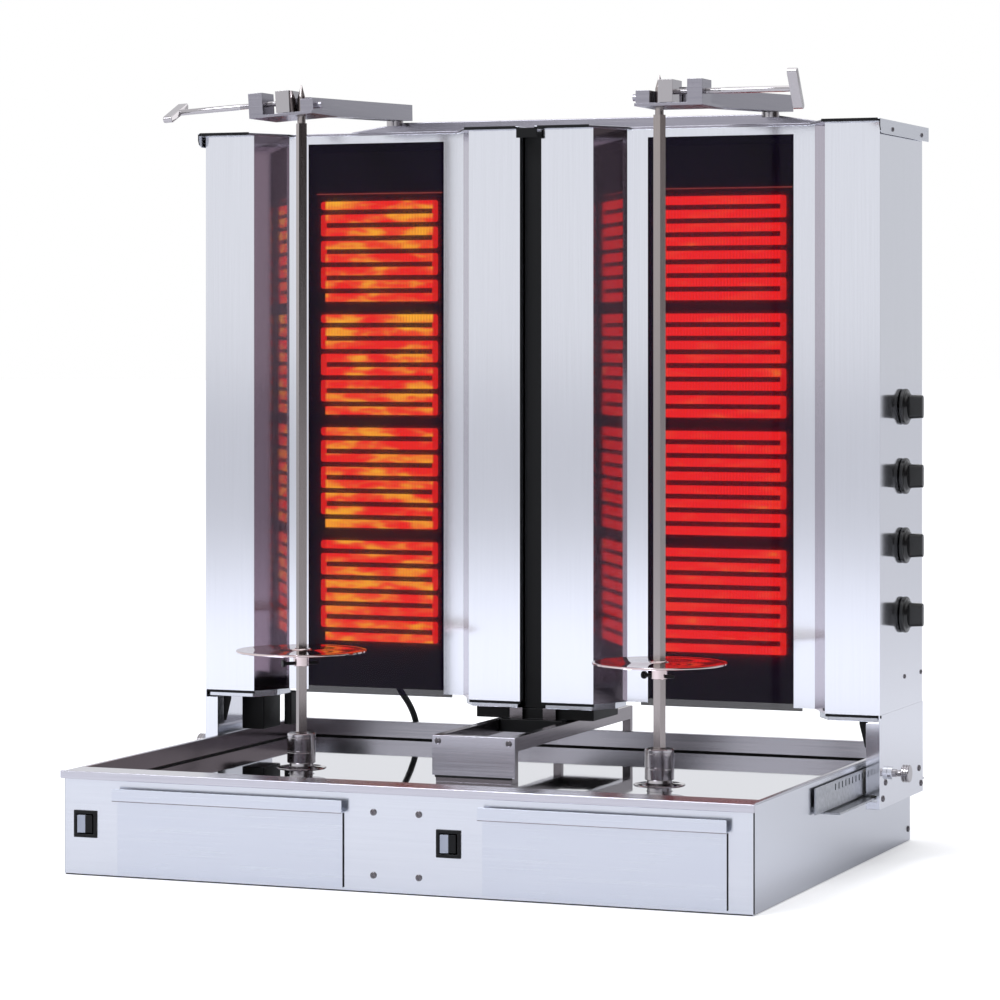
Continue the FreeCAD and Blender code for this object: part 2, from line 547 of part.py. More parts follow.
# ---------------------------------------------------------------- top beam, arms and clamps
rise_length = "beam_foot - beam_half"
beam = prism("top_beam_bar", "XZ",
             [("-beam_foot", "cap_top"), ("beam_foot", "cap_top"), ("beam_foot - 34", "cap_top + 11"),
              ("beam_half + 42", "cap_top + 18"), ("beam_half", "beam_top"), ("-beam_half", "beam_top"),
              ("-beam_half - 42", "cap_top + 18"), ("34 - beam_foot", "cap_top + 11")],
             "beam_front", "beam_thick")
node("top_beam", beam)

studs = []
for name, side in SIDES:
    # the arm is drawn along +Y from its front end, then splayed and lifted towards the rear
    tube = block(f"{name}_arm_tube", ("-arm_wide / 2", "arm_wide / 2"), ("0", "arm_length"),
                 ("0", "arm_tall"), local=True)
    bore = block(f"{name}_arm_bore", ("arm_wall - arm_wide / 2", "arm_wide / 2 - arm_wall"),
                 ("arm_wall", "arm_length + 1"), ("arm_wall", "arm_tall - arm_wall"), local=True)
    front_y = size("arm_front") - size("base_depth") / 2
    turn = FreeCAD.Rotation(FreeCAD.Vector(0, 0, 1), -side * size("arm_splay")).multiply(
        FreeCAD.Rotation(FreeCAD.Vector(1, 0, 0), size("arm_rise")))
    # the arm's underside is let 1.2 mm into the clamp seat, where the two are welded
    place = FreeCAD.Placement(
        FreeCAD.Vector(side * size("arm_root"), front_y, size("plate_level") - 1.2), turn)
    hollow_arm = cut(f"{name}_arm_hollow", tube, bore)
    hollow_arm.Placement = place

    # slot for the stud, parallel to the carriage's travel and not to the arm
    along = math.radians(size("arm_splay"))
    stud_x = side * (size("arm_root") + math.tan(along) * (size("stud_y") - size("arm_front")) - 3.6)
    lift = math.tan(math.radians(size("arm_rise"))) * (size("stud_y") - size("arm_front"))
    under = size("plate_level") - 1.2 + lift
    stud_place = FreeCAD.Placement(
        FreeCAD.Vector(stud_x, size("stud_y") - size("base_depth") / 2, under),
        FreeCAD.Rotation(FreeCAD.Vector(1, 0, 0), size("arm_rise")))
    groove = block(f"{name}_arm_slot", ("-stud_radius - 0.4", "stud_radius + 0.4"),
                   ("-163", "stud_radius + 2"), ("-4", "arm_wall + 1"), local=True)
    placed_groove = group(f"{name}_arm_slot_placed", groove)
    placed_groove.Placement = stud_place
    slotted = cut(f"{name}_arm_slotted", hollow_arm, placed_groove)

    # clamp seat at the arm's front end, square to the spit, and tipped on the left
    tilt = FreeCAD.Rotation(FreeCAD.Vector(0, 1, 0), 0 if side > 0 else -size("clamp_tilt"))
    seat = FreeCAD.Placement(
        FreeCAD.Vector(side * size("spit_x"), size("spit_y") - size("base_depth") / 2,
                       size("plate_level")), tilt)
    plate = block(f"{name}_seat_plate", ("-28", "71"), ("-26", "66"), ("-4", "0"), side, local=True)
    hole = rod(f"{name}_seat_hole", "z", ("0", "0", "-10"), "bar_side * 0.7071 + 0.6", "20", side, True)
    nut = block(f"{name}_nut_block", ("49", "71"), ("-26", "14"), ("-1", "32"), side, local=True)
    thread = rod(f"{name}_nut_bore", "x", ("40", "-6", "16"), "4.35", "40", side, True)
    stop = block(f"{name}_stop_block", ("-28", "-7.8"), ("-20", "12"), ("-1", "18"), side, local=True)
    stop_bolt = rod(f"{name}_stop_bolt", "x", ("-36", "-6", "9"), "5", "9", side, True)
    seat_all = cut(f"{name}_seat_cut",
                   fuse(f"{name}_seat_all", plate, nut, stop, stop_bolt), hole, thread)
    seat_all.Placement = seat
    node(f"{name}_arm", fuse(f"{name}_arm_all", slotted, seat_all))

    jaw = block(f"{name}_jaw_block", ("6.6", "28"), ("-26", "14"), ("0.6", "32"), side, local=True)
    jaw_bore = rod(f"{name}_jaw_bore", "x", ("14", "-6", "16"), "4.1", "20", side, True)
    jaw_cut = cut(f"{name}_jaw_cut", jaw, jaw_bore)
    jaw_cut.Placement = seat
    node(f"{name}_clamp_jaw", jaw_cut)

    screw = rod(f"{name}_screw_rod", "x", ("15", "-6", "16"), "4", "handle_reach_out - 12", side, True)
    lean = 32 if side > 0 else -67
    bar = block(f"{name}_tee_bar", ("-7", "7"), ("-5", "5"), ("-26", "26"), local=True)
    ends = [rod(f"{name}_tee_end_{place}", "x", ("-7", "0", place), "5", "14", local=True)
            for place in ("-26", "26")]
    tee = fuse(f"{name}_tee_all", bar, *ends)
    tee.Placement = FreeCAD.Placement(
        FreeCAD.Vector(side * size("handle_reach_out"), -6, 16),
        FreeCAD.Rotation(FreeCAD.Vector(1, 0, 0), lean))
    handle = fuse(f"{name}_handle_all", screw, tee)
    handle.Placement = seat
    node(f"{name}_clamp_handle", handle)

    # headed stud on the beam that the arm's slot runs on
    shank = rod(f"{name}_stud_shank", "z", ("0", "0", "-2"), "stud_radius", "6", local=True)
    head = rod(f"{name}_stud_head", "z", ("0", "0", "arm_wall + 0.4"), "stud_head", "6", local=True)
    collar = rod(f"{name}_stud_collar", "z", ("0", "0", "-8.5"), "stud_collar", "8.1", local=True)
    lug = block(f"{name}_stud_lug", ("-10", "10"), ("0", "beam_front - stud_y - 0.4"), ("-8.4", "-4"),
                local=True)
    stud = fuse(f"{name}_stud_all", shank, head, collar, lug)
    stud.Placement = stud_place
    studs.append(stud)
node("arm_studs", group("arm_stud_pair", *studs))

# ---------------------------------------------------------------- link lead and its glands
y_back = size("base_depth") / 2
route = [FreeCAD.Vector(*point) for point in (
    (-305, y_back - 57, 214), (-305, y_back - 38, 195), (-305, y_back - 2, 172),
    (-305, y_back + 26, 142), (-304, y_back + 33, 100), (-298, y_back + 33, 58),
    (-270, y_back + 33, 29), (-236, y_back + 33, 33), (-215, y_back + 33, 64))]


def tangent_path(points):
    """Straight runs joined by arcs that touch both, as a wire, with each arc's radius."""
    edges, radii, start = [], [], points[0]
    for before, corner, after in zip(points, points[1:], points[2:]):
        one, two = (before - corner), (after - corner)
        run = min(one.Length, two.Length)
        one.normalize()
        two.normalize()
        turn = math.pi - one.getAngle(two)
        cut_back = 0.45 * run
        radius = cut_back / math.tan(turn / 2)
        enter, leave = corner + one * cut_back, corner + two * cut_back
        bisector = (one + two).normalize()
        centre = corner + bisector * math.hypot(radius, cut_back)
        middle = centre - bisector * radius
        edges.append(Part.makeLine(start, enter))
        edges.append(Part.Arc(enter, middle, leave).toShape())
        radii.append(radius)
        start = leave
    edges.append(Part.makeLine(start, points[-1]))
    return Part.Wire(edges), radii


path, radii = tangent_path(route)
direction = (route[1] - route[0]).normalize()
profile = Part.Wire([Part.Circle(route[0], direction, size("lead_radius")).toShape()])
lead = doc.addObject("Part::Feature", "link_lead_tube")
lead.Shape = path.makePipeShell([profile], True, True)
expected = math.pi * size("lead_radius") ** 2 * path.Length
print("link lead: length %.0f mm, volume ratio %.4f, arc radii %s"
      % (path.Length, lead.Shape.Volume / expected, ["%.0f" % radius for radius in radii]))
node("link_lead", lead)

upper = doc.addObject("Part::Feature", "tower_gland_body")
upper_end = route[0] - direction * 14.3
upper.Shape = Part.makeCylinder(9, 14, upper_end, direction).fuse(
    Part.makeBox(24, 12, 14.5, FreeCAD.Vector(-317, y_back - 52.5, 217.5)))
lower = doc.addObject("Part::Feature", "base_gland_body")
last = (route[-1] - route[-2]).normalize()
lower.Shape = Part.makeCylinder(9, 16, route[-1], last).fuse(
    Part.makeBox(24, 44, 16, FreeCAD.Vector(route[-1].x - 7, y_back, route[-1].z + 8)))
node("tower_gland", upper)
node("base_gland", lower)

# ---------------------------------------------------------------- screws
def pan_head(name, axis, spot, side=1, radius="4.5", depth="2.4"):
    return rod(name, axis, spot, radius, depth, side)


base_screws = [pan_head(f"front_screw_{index}", "y", (f"{x}", "-2.4", f"{z}"))
               for index, (_, x, z) in enumerate(screw_spots)]
base_screws += [pan_head(f"cover_screw_{name}", "y", ("guide_half - 9", "guide_front - 2.4",
                                                      "guide_high - 8"), side) for name, side in SIDES]
base_screws += [pan_head(f"{name}_side_screw", "x", ("base_width / 2", "751", "18"), side)
                for name, side in SIDES]
node("base_screws", group("base_screw_set", *base_screws))

tower_screws = []
for name, side in SIDES:
    for y, z in ((526, 113.5), (512.5, 92), (707, 114), (718, 91)):
        tower_screws.append(pan_head(f"{name}_leg_screw_{y}", "x", ("leg_out", f"{y}", f"{z}"), side))
    for y, z in ((627.5, 255), (717.6, 254)):
        tower_screws.append(pan_head(f"{name}_panel_screw_{y}", "x",
                                     ("tower_x + tower_half", f"{y}", f"{z}"), side, "3.2", "2"))
    for y in (546, 704):
        tower_screws.append(pan_head(f"{name}_cap_screw_{y}", "x",
                                     ("tower_x + tower_half + cap_over", f"{y}", "1040"), side,
                                     "3.6", "2"))
node("tower_screws", group("tower_screw_set", *tower_screws))

for label, items in PAIRS.items():
    node(label, group(label + "_pair", *items))

# ---------------------------------------------------------------- check and write
doc.recompute()
for item in doc.Objects:
    if {"Invalid", "Error"} & set(item.State):
        raise RuntimeError(f"{item.Name} failed: {item.State}")
if len(NODES) > 60:
    raise RuntimeError(f"{len(NODES)} nodes, and 60 is the limit")
os.makedirs("parts", exist_ok=True)
for label, item in NODES.items():
    shape = item.Shape
    if shape.isNull() or not shape.isValid() or not shape.Solids:
        raise RuntimeError(f"{label} has no valid solid")
    shape.exportStep(f"parts/{label}.step")
print(len(NODES), "nodes written")
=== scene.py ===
# %% [markdown]
# # Vertical rotisserie broiler
# A counter-top cooking machine: two electric heater towers stand behind two upright spits, on a carriage
# that slides over a low stainless-steel base with a drip tray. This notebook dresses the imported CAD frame:
# it keeps the frame's places and movements, and gives each part the folds, edges, threads and finishes
# that the real one has.
#
# Everything is in metres, in the frame of the CAD part: X to the operator's right, Y away from the
# operator, Z up, with the origin in the middle of the underside.

import json
import math

import bpy
from mathutils import Euler, Matrix, Vector

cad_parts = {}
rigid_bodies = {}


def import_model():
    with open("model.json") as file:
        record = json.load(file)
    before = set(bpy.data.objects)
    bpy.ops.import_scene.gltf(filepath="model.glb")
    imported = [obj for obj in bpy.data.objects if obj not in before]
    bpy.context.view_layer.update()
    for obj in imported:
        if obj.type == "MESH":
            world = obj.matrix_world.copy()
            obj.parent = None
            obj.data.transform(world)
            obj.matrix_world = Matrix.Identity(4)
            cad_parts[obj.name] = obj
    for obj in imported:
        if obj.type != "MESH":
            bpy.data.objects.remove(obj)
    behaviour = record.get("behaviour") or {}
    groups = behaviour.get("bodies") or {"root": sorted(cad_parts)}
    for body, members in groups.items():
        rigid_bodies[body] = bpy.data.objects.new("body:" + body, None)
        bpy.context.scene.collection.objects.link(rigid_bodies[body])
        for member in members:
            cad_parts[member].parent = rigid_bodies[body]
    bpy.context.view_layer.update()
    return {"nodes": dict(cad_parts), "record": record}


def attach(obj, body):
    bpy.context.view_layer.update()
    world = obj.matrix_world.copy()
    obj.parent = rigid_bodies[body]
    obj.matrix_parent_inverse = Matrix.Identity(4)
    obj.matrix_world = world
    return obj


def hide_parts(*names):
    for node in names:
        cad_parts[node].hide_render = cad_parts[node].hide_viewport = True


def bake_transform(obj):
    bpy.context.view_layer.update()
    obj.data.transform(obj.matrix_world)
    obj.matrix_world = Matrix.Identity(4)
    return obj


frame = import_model()
body_of_node = {node: body for body, nodes in frame["record"]["behaviour"]["bodies"].items()
                for node in nodes}
front_y = -0.3815                 # the base's front face

# %% [markdown]
# ## Camera
# The machine is seen from a little to its right and from the height of the towers' shoulders, with the
# camera held level, so upright edges stay upright. A level camera looks over the base, so the lens is
# shifted down instead of tilting the camera, as with a view camera in a studio. The lens is long: the
# camera stands almost five metres away.

# %% Camera
camera_data = bpy.data.cameras.new("studio_camera")
camera_data.sensor_width = 36
camera_data.lens = 130.43
camera_data.shift_y = -0.1614
camera = bpy.data.objects.new("studio_camera", camera_data)
camera.location = (1.916661, -4.830349, 0.742549)
camera.rotation_euler = (math.radians(90), 0, math.radians(21.665))
bpy.context.scene.collection.objects.link(camera)
bpy.context.scene.camera = camera
print("camera at", [round(c, 2) for c in camera.location], "lens", camera_data.lens, "mm")

# %% [markdown]
# ## Small helpers for finishes
# Colours are written as sRGB hex values, as they are read from a colour chart, and turned to the linear
# values that the shaders work in. One function adds a shader node, with its settings and its links.
# A value that is the same all over goes straight to the shader's own socket.

# %% Helpers for finishes
def linear(code):
    """An sRGB hex colour as linear red, green, blue and alpha."""
    parts = [int(code[i:i + 2], 16) / 255 for i in (1, 3, 5)]
    return tuple(c / 12.92 if c <= 0.04045 else ((c + 0.055) / 1.055) ** 2.4 for c in parts) + (1.0,)


def add(tree, kind, inputs=None, **settings):
    """Add one node; each input is a plain value or the socket that feeds it."""
    made = tree.nodes.new(kind)
    for name, value in settings.items():
        setattr(made, name, value)
    for name, value in (inputs or {}).items():
        if isinstance(value, bpy.types.NodeSocket):
            tree.links.new(value, made.inputs[name])
        else:
            made.inputs[name].default_value = value
    return made


def ramp(tree, factor, stops):
    """A colour ramp from (place, hex colour) stops."""
    made = add(tree, "ShaderNodeValToRGB", {"Fac": factor})
    while len(made.color_ramp.elements) < len(stops):
        made.color_ramp.elements.new(0.5)
    for element, (place, code) in zip(made.color_ramp.elements, stops):
        element.position = place
        element.color = linear(code)
    return made.outputs["Color"]


def span(tree, value, low, high):
    """Spread a 0 to 1 pattern between two numbers."""
    return add(tree, "ShaderNodeMapRange", {"Value": value, "To Min": low, "To Max": high}).outputs[0]


def finish(name):
    """A new material with its surface shader, ready for its own settings."""
    material = bpy.data.materials.new(name)
    material.use_nodes = True
    tree = material.node_tree
    surface = tree.nodes["Principled BSDF"]
    return material, tree, surface


def grain(tree, spread, detail=3.0, roughness=0.55):
    """Noise whose cells are `spread` millimetres long along X, Y and Z of the part."""
    place = add(tree, "ShaderNodeTexCoord").outputs["Object"]
    scaled = add(tree, "ShaderNodeMapping", {"Vector": place, "Scale": tuple(1000 / s for s in spread)})
    return add(tree, "ShaderNodeTexNoise", {"Vector": scaled.outputs[0], "Scale": 1.0, "Detail": detail,
                                            "Roughness": roughness}).outputs["Fac"]


print("helpers ready; #808080 is", round(linear("#808080")[0], 3), "in linear light")

# %% [markdown]
# ## Brushed stainless steel
# Casings, base and drawers are 18/10 stainless sheet with a brushed finish: a belt draws fine parallel
# scratches along the sheet, so a highlight stretches across the scratches. The real scratches are about
# 0.1 mm apart, too fine to see from here, so they are drawn 1.5 mm apart with little contrast. The sheet
# itself is never flat: slow waves, a hand's width long, bend the reflections a little. The tower sheets
# are brushed upright and the base sheets lengthwise.

# %% Brushed stainless steel
def brushed_steel(name, streak, turn, dark, light, rough):
    material, tree, surface = finish(name)
    scratches = grain(tree, streak)
    waves = grain(tree, (190, 190, 260), detail=1.0)
    surface.inputs["Metallic"].default_value = 1.0
    surface.inputs["Anisotropic"].default_value = 0.4
    surface.inputs["Anisotropic Rotation"].default_value = turn
    tangent = add(tree, "ShaderNodeTangent", direction_type="RADIAL", axis="Z")
    colour = ramp(tree, scratches, [(0.3, dark), (0.7, light)])
    height = add(tree, "ShaderNodeBump", {"Height": waves, "Distance": 0.0003, "Strength": 0.5})
    fine = add(tree, "ShaderNodeBump", {"Height": scratches, "Distance": 0.00001, "Strength": 0.5,
                                        "Normal": height.outputs[0]})
    for socket, value in (("Base Color", colour), ("Roughness", span(tree, scratches, *rough)),
                          ("Tangent", tangent.outputs[0]), ("Normal", fine.outputs[0])):
        tree.links.new(value, surface.inputs[socket])
    return material


steel_upright = brushed_steel("brushed_stainless_upright", (1.5, 1.5, 160), 0.0,
                              "#DFE0E6", "#E3E4EA", (0.1, 0.13))
steel_level = brushed_steel("brushed_stainless_level", (160, 160, 1.5), 0.25,
                            "#CFD1D8", "#D6D8DE", (0.2, 0.28))
steel_drawer = brushed_steel("brushed_stainless_drawer", (160, 160, 1.2), 0.25,
                             "#CACDD7", "#D0D3DB", (0.22, 0.3))
steel_beam = brushed_steel("satin_stainless_bar", (160, 160, 1.5), 0.25, "#94919A", "#9E9BA2", (0.2, 0.3))
steel_tray = brushed_steel("brushed_stainless_tray", (160, 160, 1.5), 0.25, "#BCBAC2", "#C8C6CD", (0.2, 0.28))
steel_rail = brushed_steel("satin_stainless_rail", (160, 160, 1.5), 0.25, "#7E787B", "#8A8487", (0.16, 0.24))
# painted reflection: a darker, purple-tinted copy of the upright steel for the wings' slanted faces, standing
# in for the dark heater windows they mirror
steel_slant_painted_reflection = brushed_steel("heat_stained_stainless_upright", (1.5, 1.5, 160), 0.0,
                              "#AEA2AB", "#B6AAB3", (0.04, 0.08))
print("brushed steels:", steel_upright.name, steel_level.name, steel_beam.name)

# %% [markdown]
# ## Polished stainless steel
# The tray, spits, hubs and discs are the same steel, polished bright so that fat wipes off. Polishing
# leaves a mirror with faint haze and hairline wipe marks, which show as small changes in roughness.

# %% Polished stainless steel
def polished_steel(name, colour, rough, wipe):
    material, tree, surface = finish(name)
    haze = grain(tree, wipe, detail=4.0)
    surface.inputs["Metallic"].default_value = 1.0
    surface.inputs["Base Color"].default_value = linear(colour)
    height = add(tree, "ShaderNodeBump", {"Height": grain(tree, (120, 90, 120), detail=1.0),
                                          "Distance": 0.0002, "Strength": 0.4})
    tree.links.new(span(tree, haze, *rough), surface.inputs["Roughness"])
    tree.links.new(height.outputs[0], surface.inputs["Normal"])
    return material


steel_polished = polished_steel("polished_stainless", "#D4D5DA", (0.015, 0.05), (22, 9, 22))
steel_turned = polished_steel("turned_stainless", "#B4B0B2", (0.06, 0.12), (60, 60, 0.8))
steel_spit = polished_steel("ground_square_bar", "#A29A98", (0.12, 0.2), (3, 3, 40))
# a darker, brownish grey polished steel, used on the tray's left wall
tray_wall_steel = polished_steel("heat_stained_stainless", "#6E6266", (0.1, 0.2), (30, 30, 8))
disc_steel = polished_steel("polished_disc_stainless", "#D9C9C8", (0.03, 0.07), (12, 12, 12))
screw_steel = polished_steel("stainless_screw_heads", "#6E6A6D", (0.15, 0.3), (4, 4, 4))
print("polished steels:", steel_polished.name, steel_turned.name)

# %% [markdown]
# ## Zinc-plated and painted steel
# Rails and racks are zinc plated, which gives a bluish, slightly mottled grey. The middle post, slider and
# wiring box are powder coated in matt black: the powder melts into a fine orange peel about a millimetre
# across.

# %% Zinc-plated and painted steel
zinc, tree, surface = finish("zinc_plated_steel")
spangle = grain(tree, (7, 7, 7), detail=3.0)
surface.inputs["Metallic"].default_value = 1.0
tree.links.new(ramp(tree, spangle, [(0.3, "#9C9EA3"), (0.7, "#B9BBC0")]), surface.inputs["Base Color"])
tree.links.new(span(tree, spangle, 0.26, 0.42), surface.inputs["Roughness"])

powder_black, tree, surface = finish("black_powder_coat")
peel = grain(tree, (1.6, 1.6, 1.6), detail=2.0)
surface.inputs["Base Color"].default_value = linear("#050506")
surface.inputs["IOR"].default_value = 1.5
surface.inputs["Specular IOR Level"].default_value = 0.2
tree.links.new(span(tree, peel, 0.38, 0.5), surface.inputs["Roughness"])
height = add(tree, "ShaderNodeBump", {"Height": peel, "Distance": 0.00006, "Strength": 0.6})
tree.links.new(height.outputs[0], surface.inputs["Normal"])
print("zinc and powder coat ready")

# %% [markdown]
# ## Ceramic glass
# The heaters shine through 4 mm glass ceramic, coloured deep purple in the melt: it passes red and infra-red
# and looks almost black elsewhere. It is drawn as a dark glossy surface that lets part of what is behind
# it show, which keeps the glowing strips sharp.

# %% Ceramic glass
ceramic_glass, tree, surface = finish("glass_ceramic")
surface.inputs["Base Color"].default_value = linear("#0D0618")
surface.inputs["Specular IOR Level"].default_value = 0.1
surface.inputs["Alpha"].default_value = 0.72
surface.inputs["IOR"].default_value = 1.54
smear = grain(tree, (40, 40, 70), detail=3.0)
tree.links.new(span(tree, smear, 0.03, 0.1), surface.inputs["Roughness"])
print("glass ceramic lets", round(1 - surface.inputs["Alpha"].default_value, 2), "through")

# %% [markdown]
# ## Glowing resistance strip
# Each heater is a corrugated ribbon of iron-chromium alloy, laid on a fibre board in eight runs. At about
# 900 degrees it glows red, and orange to yellow where it runs hotter in the middle of a run. The ends and
# turns are held to the board and stay a plain red. The pleats of the ribbon are 2.4 mm apart.

# %% Glowing resistance strip
def glowing_strip(name, hot, seed):
    material, tree, surface = finish(name)
    place = add(tree, "ShaderNodeTexCoord").outputs["Object"]
    moved = add(tree, "ShaderNodeMapping", {"Vector": place, "Location": (seed, 0, seed * 0.7),
                                            "Scale": (16, 1, 52)})
    heat = add(tree, "ShaderNodeTexNoise", {"Vector": moved.outputs[0], "Scale": 1.0, "Detail": 2.0,
                                            "Roughness": 0.6})
    pleats = add(tree, "ShaderNodeTexWave", {"Vector": place, "Scale": 1000 / 2.4 / 6.2832,
                                             "Distortion": 0.0}, bands_direction="X")
    colour = ramp(tree, heat.outputs["Fac"], hot)
    surface.inputs["Base Color"].default_value = linear("#2A0D08")
    surface.inputs["Roughness"].default_value = 0.8
    tree.links.new(colour, surface.inputs["Emission Color"])
    tree.links.new(span(tree, pleats.outputs["Fac"], 9.0, 13.0), surface.inputs["Emission Strength"])
    return material


strip_glow = glowing_strip("glowing_alloy_strip_left", [(0.4, "#F02A1E"), (0.5, "#F2502A"),
                                                        (0.6, "#F7912E"), (0.72, "#FFB030")], 3.0)
strip_glow_right = glowing_strip("glowing_alloy_strip_right", [(0.5, "#F02420"), (0.66, "#F23A28"),
                                                               (0.78, "#F07030")], 8.0)
turn_glow, tree, surface = finish("flat_alloy_strip")
surface.inputs["Base Color"].default_value = linear("#2A0D08")
surface.inputs["Roughness"].default_value = 0.8
worn = grain(tree, (60, 60, 30), detail=2.0)
tree.links.new(ramp(tree, worn, [(0.3, "#E81A14"), (0.7, "#F42A1C")]), surface.inputs["Emission Color"])
surface.inputs["Emission Strength"].default_value = 9.0
# painted glow: the steel retaining strip gets its own reddish emission, standing in for the heaters' light on
# it
painted_heater_glow, tree, surface = finish("warm_retaining_strip")
warm = grain(tree, (50, 50, 50), detail=2.0)
surface.inputs["Roughness"].default_value = 0.5
tree.links.new(ramp(tree, warm, [(0.3, "#B8403A"), (0.7, "#D05848")]), surface.inputs["Emission Color"])
surface.inputs["Emission Strength"].default_value = 4.0
board, tree, surface = finish("fibre_insulation_board")
fibres = grain(tree, (5, 5, 2), detail=4.0)
surface.inputs["Roughness"].default_value = 0.9
tree.links.new(ramp(tree, fibres, [(0.3, "#8E8478"), (0.7, "#A49A8C")]), surface.inputs["Base Color"])
print("heater finishes ready")

# %% [markdown]
# ## Plastics and rubber
# Knobs and switches are moulded in black ABS and phenolic resin with a glossy skin, the rockers partly in
# grey. The glides are white nylon. The link lead has a black rubber sheath.

# %% Plastics and rubber
def moulded(name, colour, rough, speck, peel):
    material, tree, surface = finish(name)
    texture = grain(tree, (speck, speck, speck), detail=2.0)
    surface.inputs["Base Color"].default_value = linear(colour)
    surface.inputs["IOR"].default_value = 1.53
    height = add(tree, "ShaderNodeBump", {"Height": texture, "Distance": peel, "Strength": 0.5})
    tree.links.new(span(tree, texture, *rough), surface.inputs["Roughness"])
    tree.links.new(height.outputs[0], surface.inputs["Normal"])
    return material


black_resin = moulded("black_phenolic_resin", "#0B0B0C", (0.16, 0.26), 3.0, 0.00002)
black_abs = moulded("black_abs", "#08080A", (0.3, 0.42), 1.2, 0.00003)
grey_abs = moulded("grey_abs", "#989DAA", (0.32, 0.44), 1.2, 0.00003)
nylon = moulded("natural_nylon", "#DAD6C8", (0.4, 0.55), 2.0, 0.00003)
motor_paint = moulded("grey_motor_enamel", "#7B8188", (0.35, 0.5), 2.5, 0.00004)
# painted shadow: a matt black for the thin lines of shade where parts meet
shadow_black = moulded("black_sealant", "#060607", (0.5, 0.6), 1.0, 0.00002)
white_fill = moulded("white_filled_line", "#E8E8E6", (0.4, 0.5), 1.0, 0.00002)
rubber = moulded("black_rubber_sheath", "#070708", (0.5, 0.65), 1.5, 0.00005)
for dull in (black_abs, rubber, shadow_black):
    dull.node_tree.nodes["Principled BSDF"].inputs["Specular IOR Level"].default_value = 0.2
print("plastics ready")

# %% [markdown]
# ## Finishes for the frame's own nodes
# Each node of the frame gets the finish of the real part. Nodes that are replaced further down get theirs
# again on the new piece.

# %% Finishes for the frame's own nodes
finish_of_node = {}
for node in frame["nodes"]:
    plain = node.replace("left_", "").replace("right_", "")
    finish_of_node[node] = {
        "base_housing": steel_level, "base_floor": steel_level, "base_screws": steel_polished,
        "base_gland": black_abs, "drip_tray": steel_tray, "drawer": steel_drawer,
        "drawer_runners": zinc, "switch_housing": black_abs, "rocker": grey_abs, "spit_motors": motor_paint,
        "spit_hub": steel_turned, "spit": steel_spit, "spit_disc": steel_polished,
        "tower_casing": steel_upright, "tower_caps": steel_level, "tower_screws": steel_polished,
        "tower_gland": black_abs, "window_glasses": ceramic_glass, "heating_elements": strip_glow,
        "heater_boards": board, "wing_pans": steel_level, "side_plate": steel_upright,
        "regulators": black_abs, "carriage_glides": nylon, "carriage_rails": zinc, "lock_racks": zinc,
        "lock_plunger": steel_turned, "centre_guide": steel_rail, "guide_cover": steel_tray,
        "guide_slider": powder_black, "centre_post": powder_black, "post_brackets": steel_rail,
        "wiring_box": powder_black, "top_beam": steel_beam, "arm": steel_beam, "arm_studs": steel_turned,
        "clamp_jaw": steel_turned, "clamp_handle": steel_turned, "link_lead": rubber,
    }.get(plain, black_resin if "knob" in plain else steel_level)
for node, item in frame["nodes"].items():
    item.data.materials.clear()
    item.data.materials.append(finish_of_node[node])
print("finishes given to", len(finish_of_node), "nodes")

# %% [markdown]
# ## Small helpers for modelling
# Every piece is modelled as by hand: a primitive is started at its size and place, its faces, edges or
# corners are picked by where they are, and edit-mode operators shape it. Sizes are written in
# millimetres. An operator acts on everything selected, so nothing else is left selected at the start.

# %% Helpers for modelling
mm = 0.001


def clear_selection():
    if bpy.context.object and bpy.context.object.mode != "OBJECT":
        bpy.ops.object.mode_set(mode="OBJECT")
    bpy.ops.object.select_all(action="DESELECT")


def begin(name, primitive, stretch=None, **where):
    """Start a piece from a primitive, alone in the selection, with its place put into its mesh."""
    clear_selection()
    primitive(**where)
    piece = bpy.context.object
    piece.name = name
    if stretch:
        piece.scale = stretch
    bpy.ops.object.transform_apply(location=True, rotation=True, scale=True)
    return piece


def box_from(name, x, y, z):
    """A cuboid to start from, between limits in millimetres; y counts back from the base's front face."""
    low = Vector((x[0], y[0] + front_y / mm, z[0])) * mm
    high = Vector((x[1], y[1] + front_y / mm, z[1])) * mm
    return begin(name, bpy.ops.mesh.primitive_cube_add, size=1, location=(low + high) / 2, scale=high - low)


def choose(piece, test, kind="FACE"):
    """Pick faces, edges or corners by the place of their middle (and a face's normal); stays in edit mode."""
    bpy.ops.object.mode_set(mode="OBJECT")
    mesh = piece.data
    for items in (mesh.vertices, mesh.edges, mesh.polygons):
        items.foreach_set("select", [False] * len(items))
    if kind == "FACE":
        for face in mesh.polygons:
            face.select = bool(test(face.center, face.normal))
    elif kind == "EDGE":
        for edge in mesh.edges:
            ends = [mesh.vertices[i].co for i in edge.vertices]
            edge.select = bool(test((ends[0] + ends[1]) / 2, (ends[1] - ends[0]).normalized()))
    else:
        for corner in mesh.vertices:
            corner.select = bool(test(corner.co, corner.normal))
    bpy.context.tool_settings.mesh_select_mode = (kind == "VERT", kind == "EDGE", kind == "FACE")
    bpy.ops.object.mode_set(mode="EDIT")


def apply(piece, kind, **settings):
    """Add a modifier with its settings and make it part of the mesh."""
    bpy.ops.object.mode_set(mode="OBJECT")
    clear_selection()
    piece.select_set(True)
    bpy.context.view_layer.objects.active = piece
    modifier = piece.modifiers.new(kind.lower(), kind)
    for name, value in settings.items():
        setattr(modifier, name, value)
    bpy.ops.object.modifier_apply(modifier=modifier.name)


def round_edges(piece, radius, angle=28, segments=2):
    """Break the sharp edges by a radius in millimetres, and keep the flats looking flat."""
    apply(piece, "BEVEL", width=radius * mm, segments=segments, limit_method="ANGLE",
          angle_limit=math.radians(angle), harden_normals=False)
    bpy.ops.object.shade_smooth()
    apply(piece, "WEIGHTED_NORMAL", keep_sharp=True)


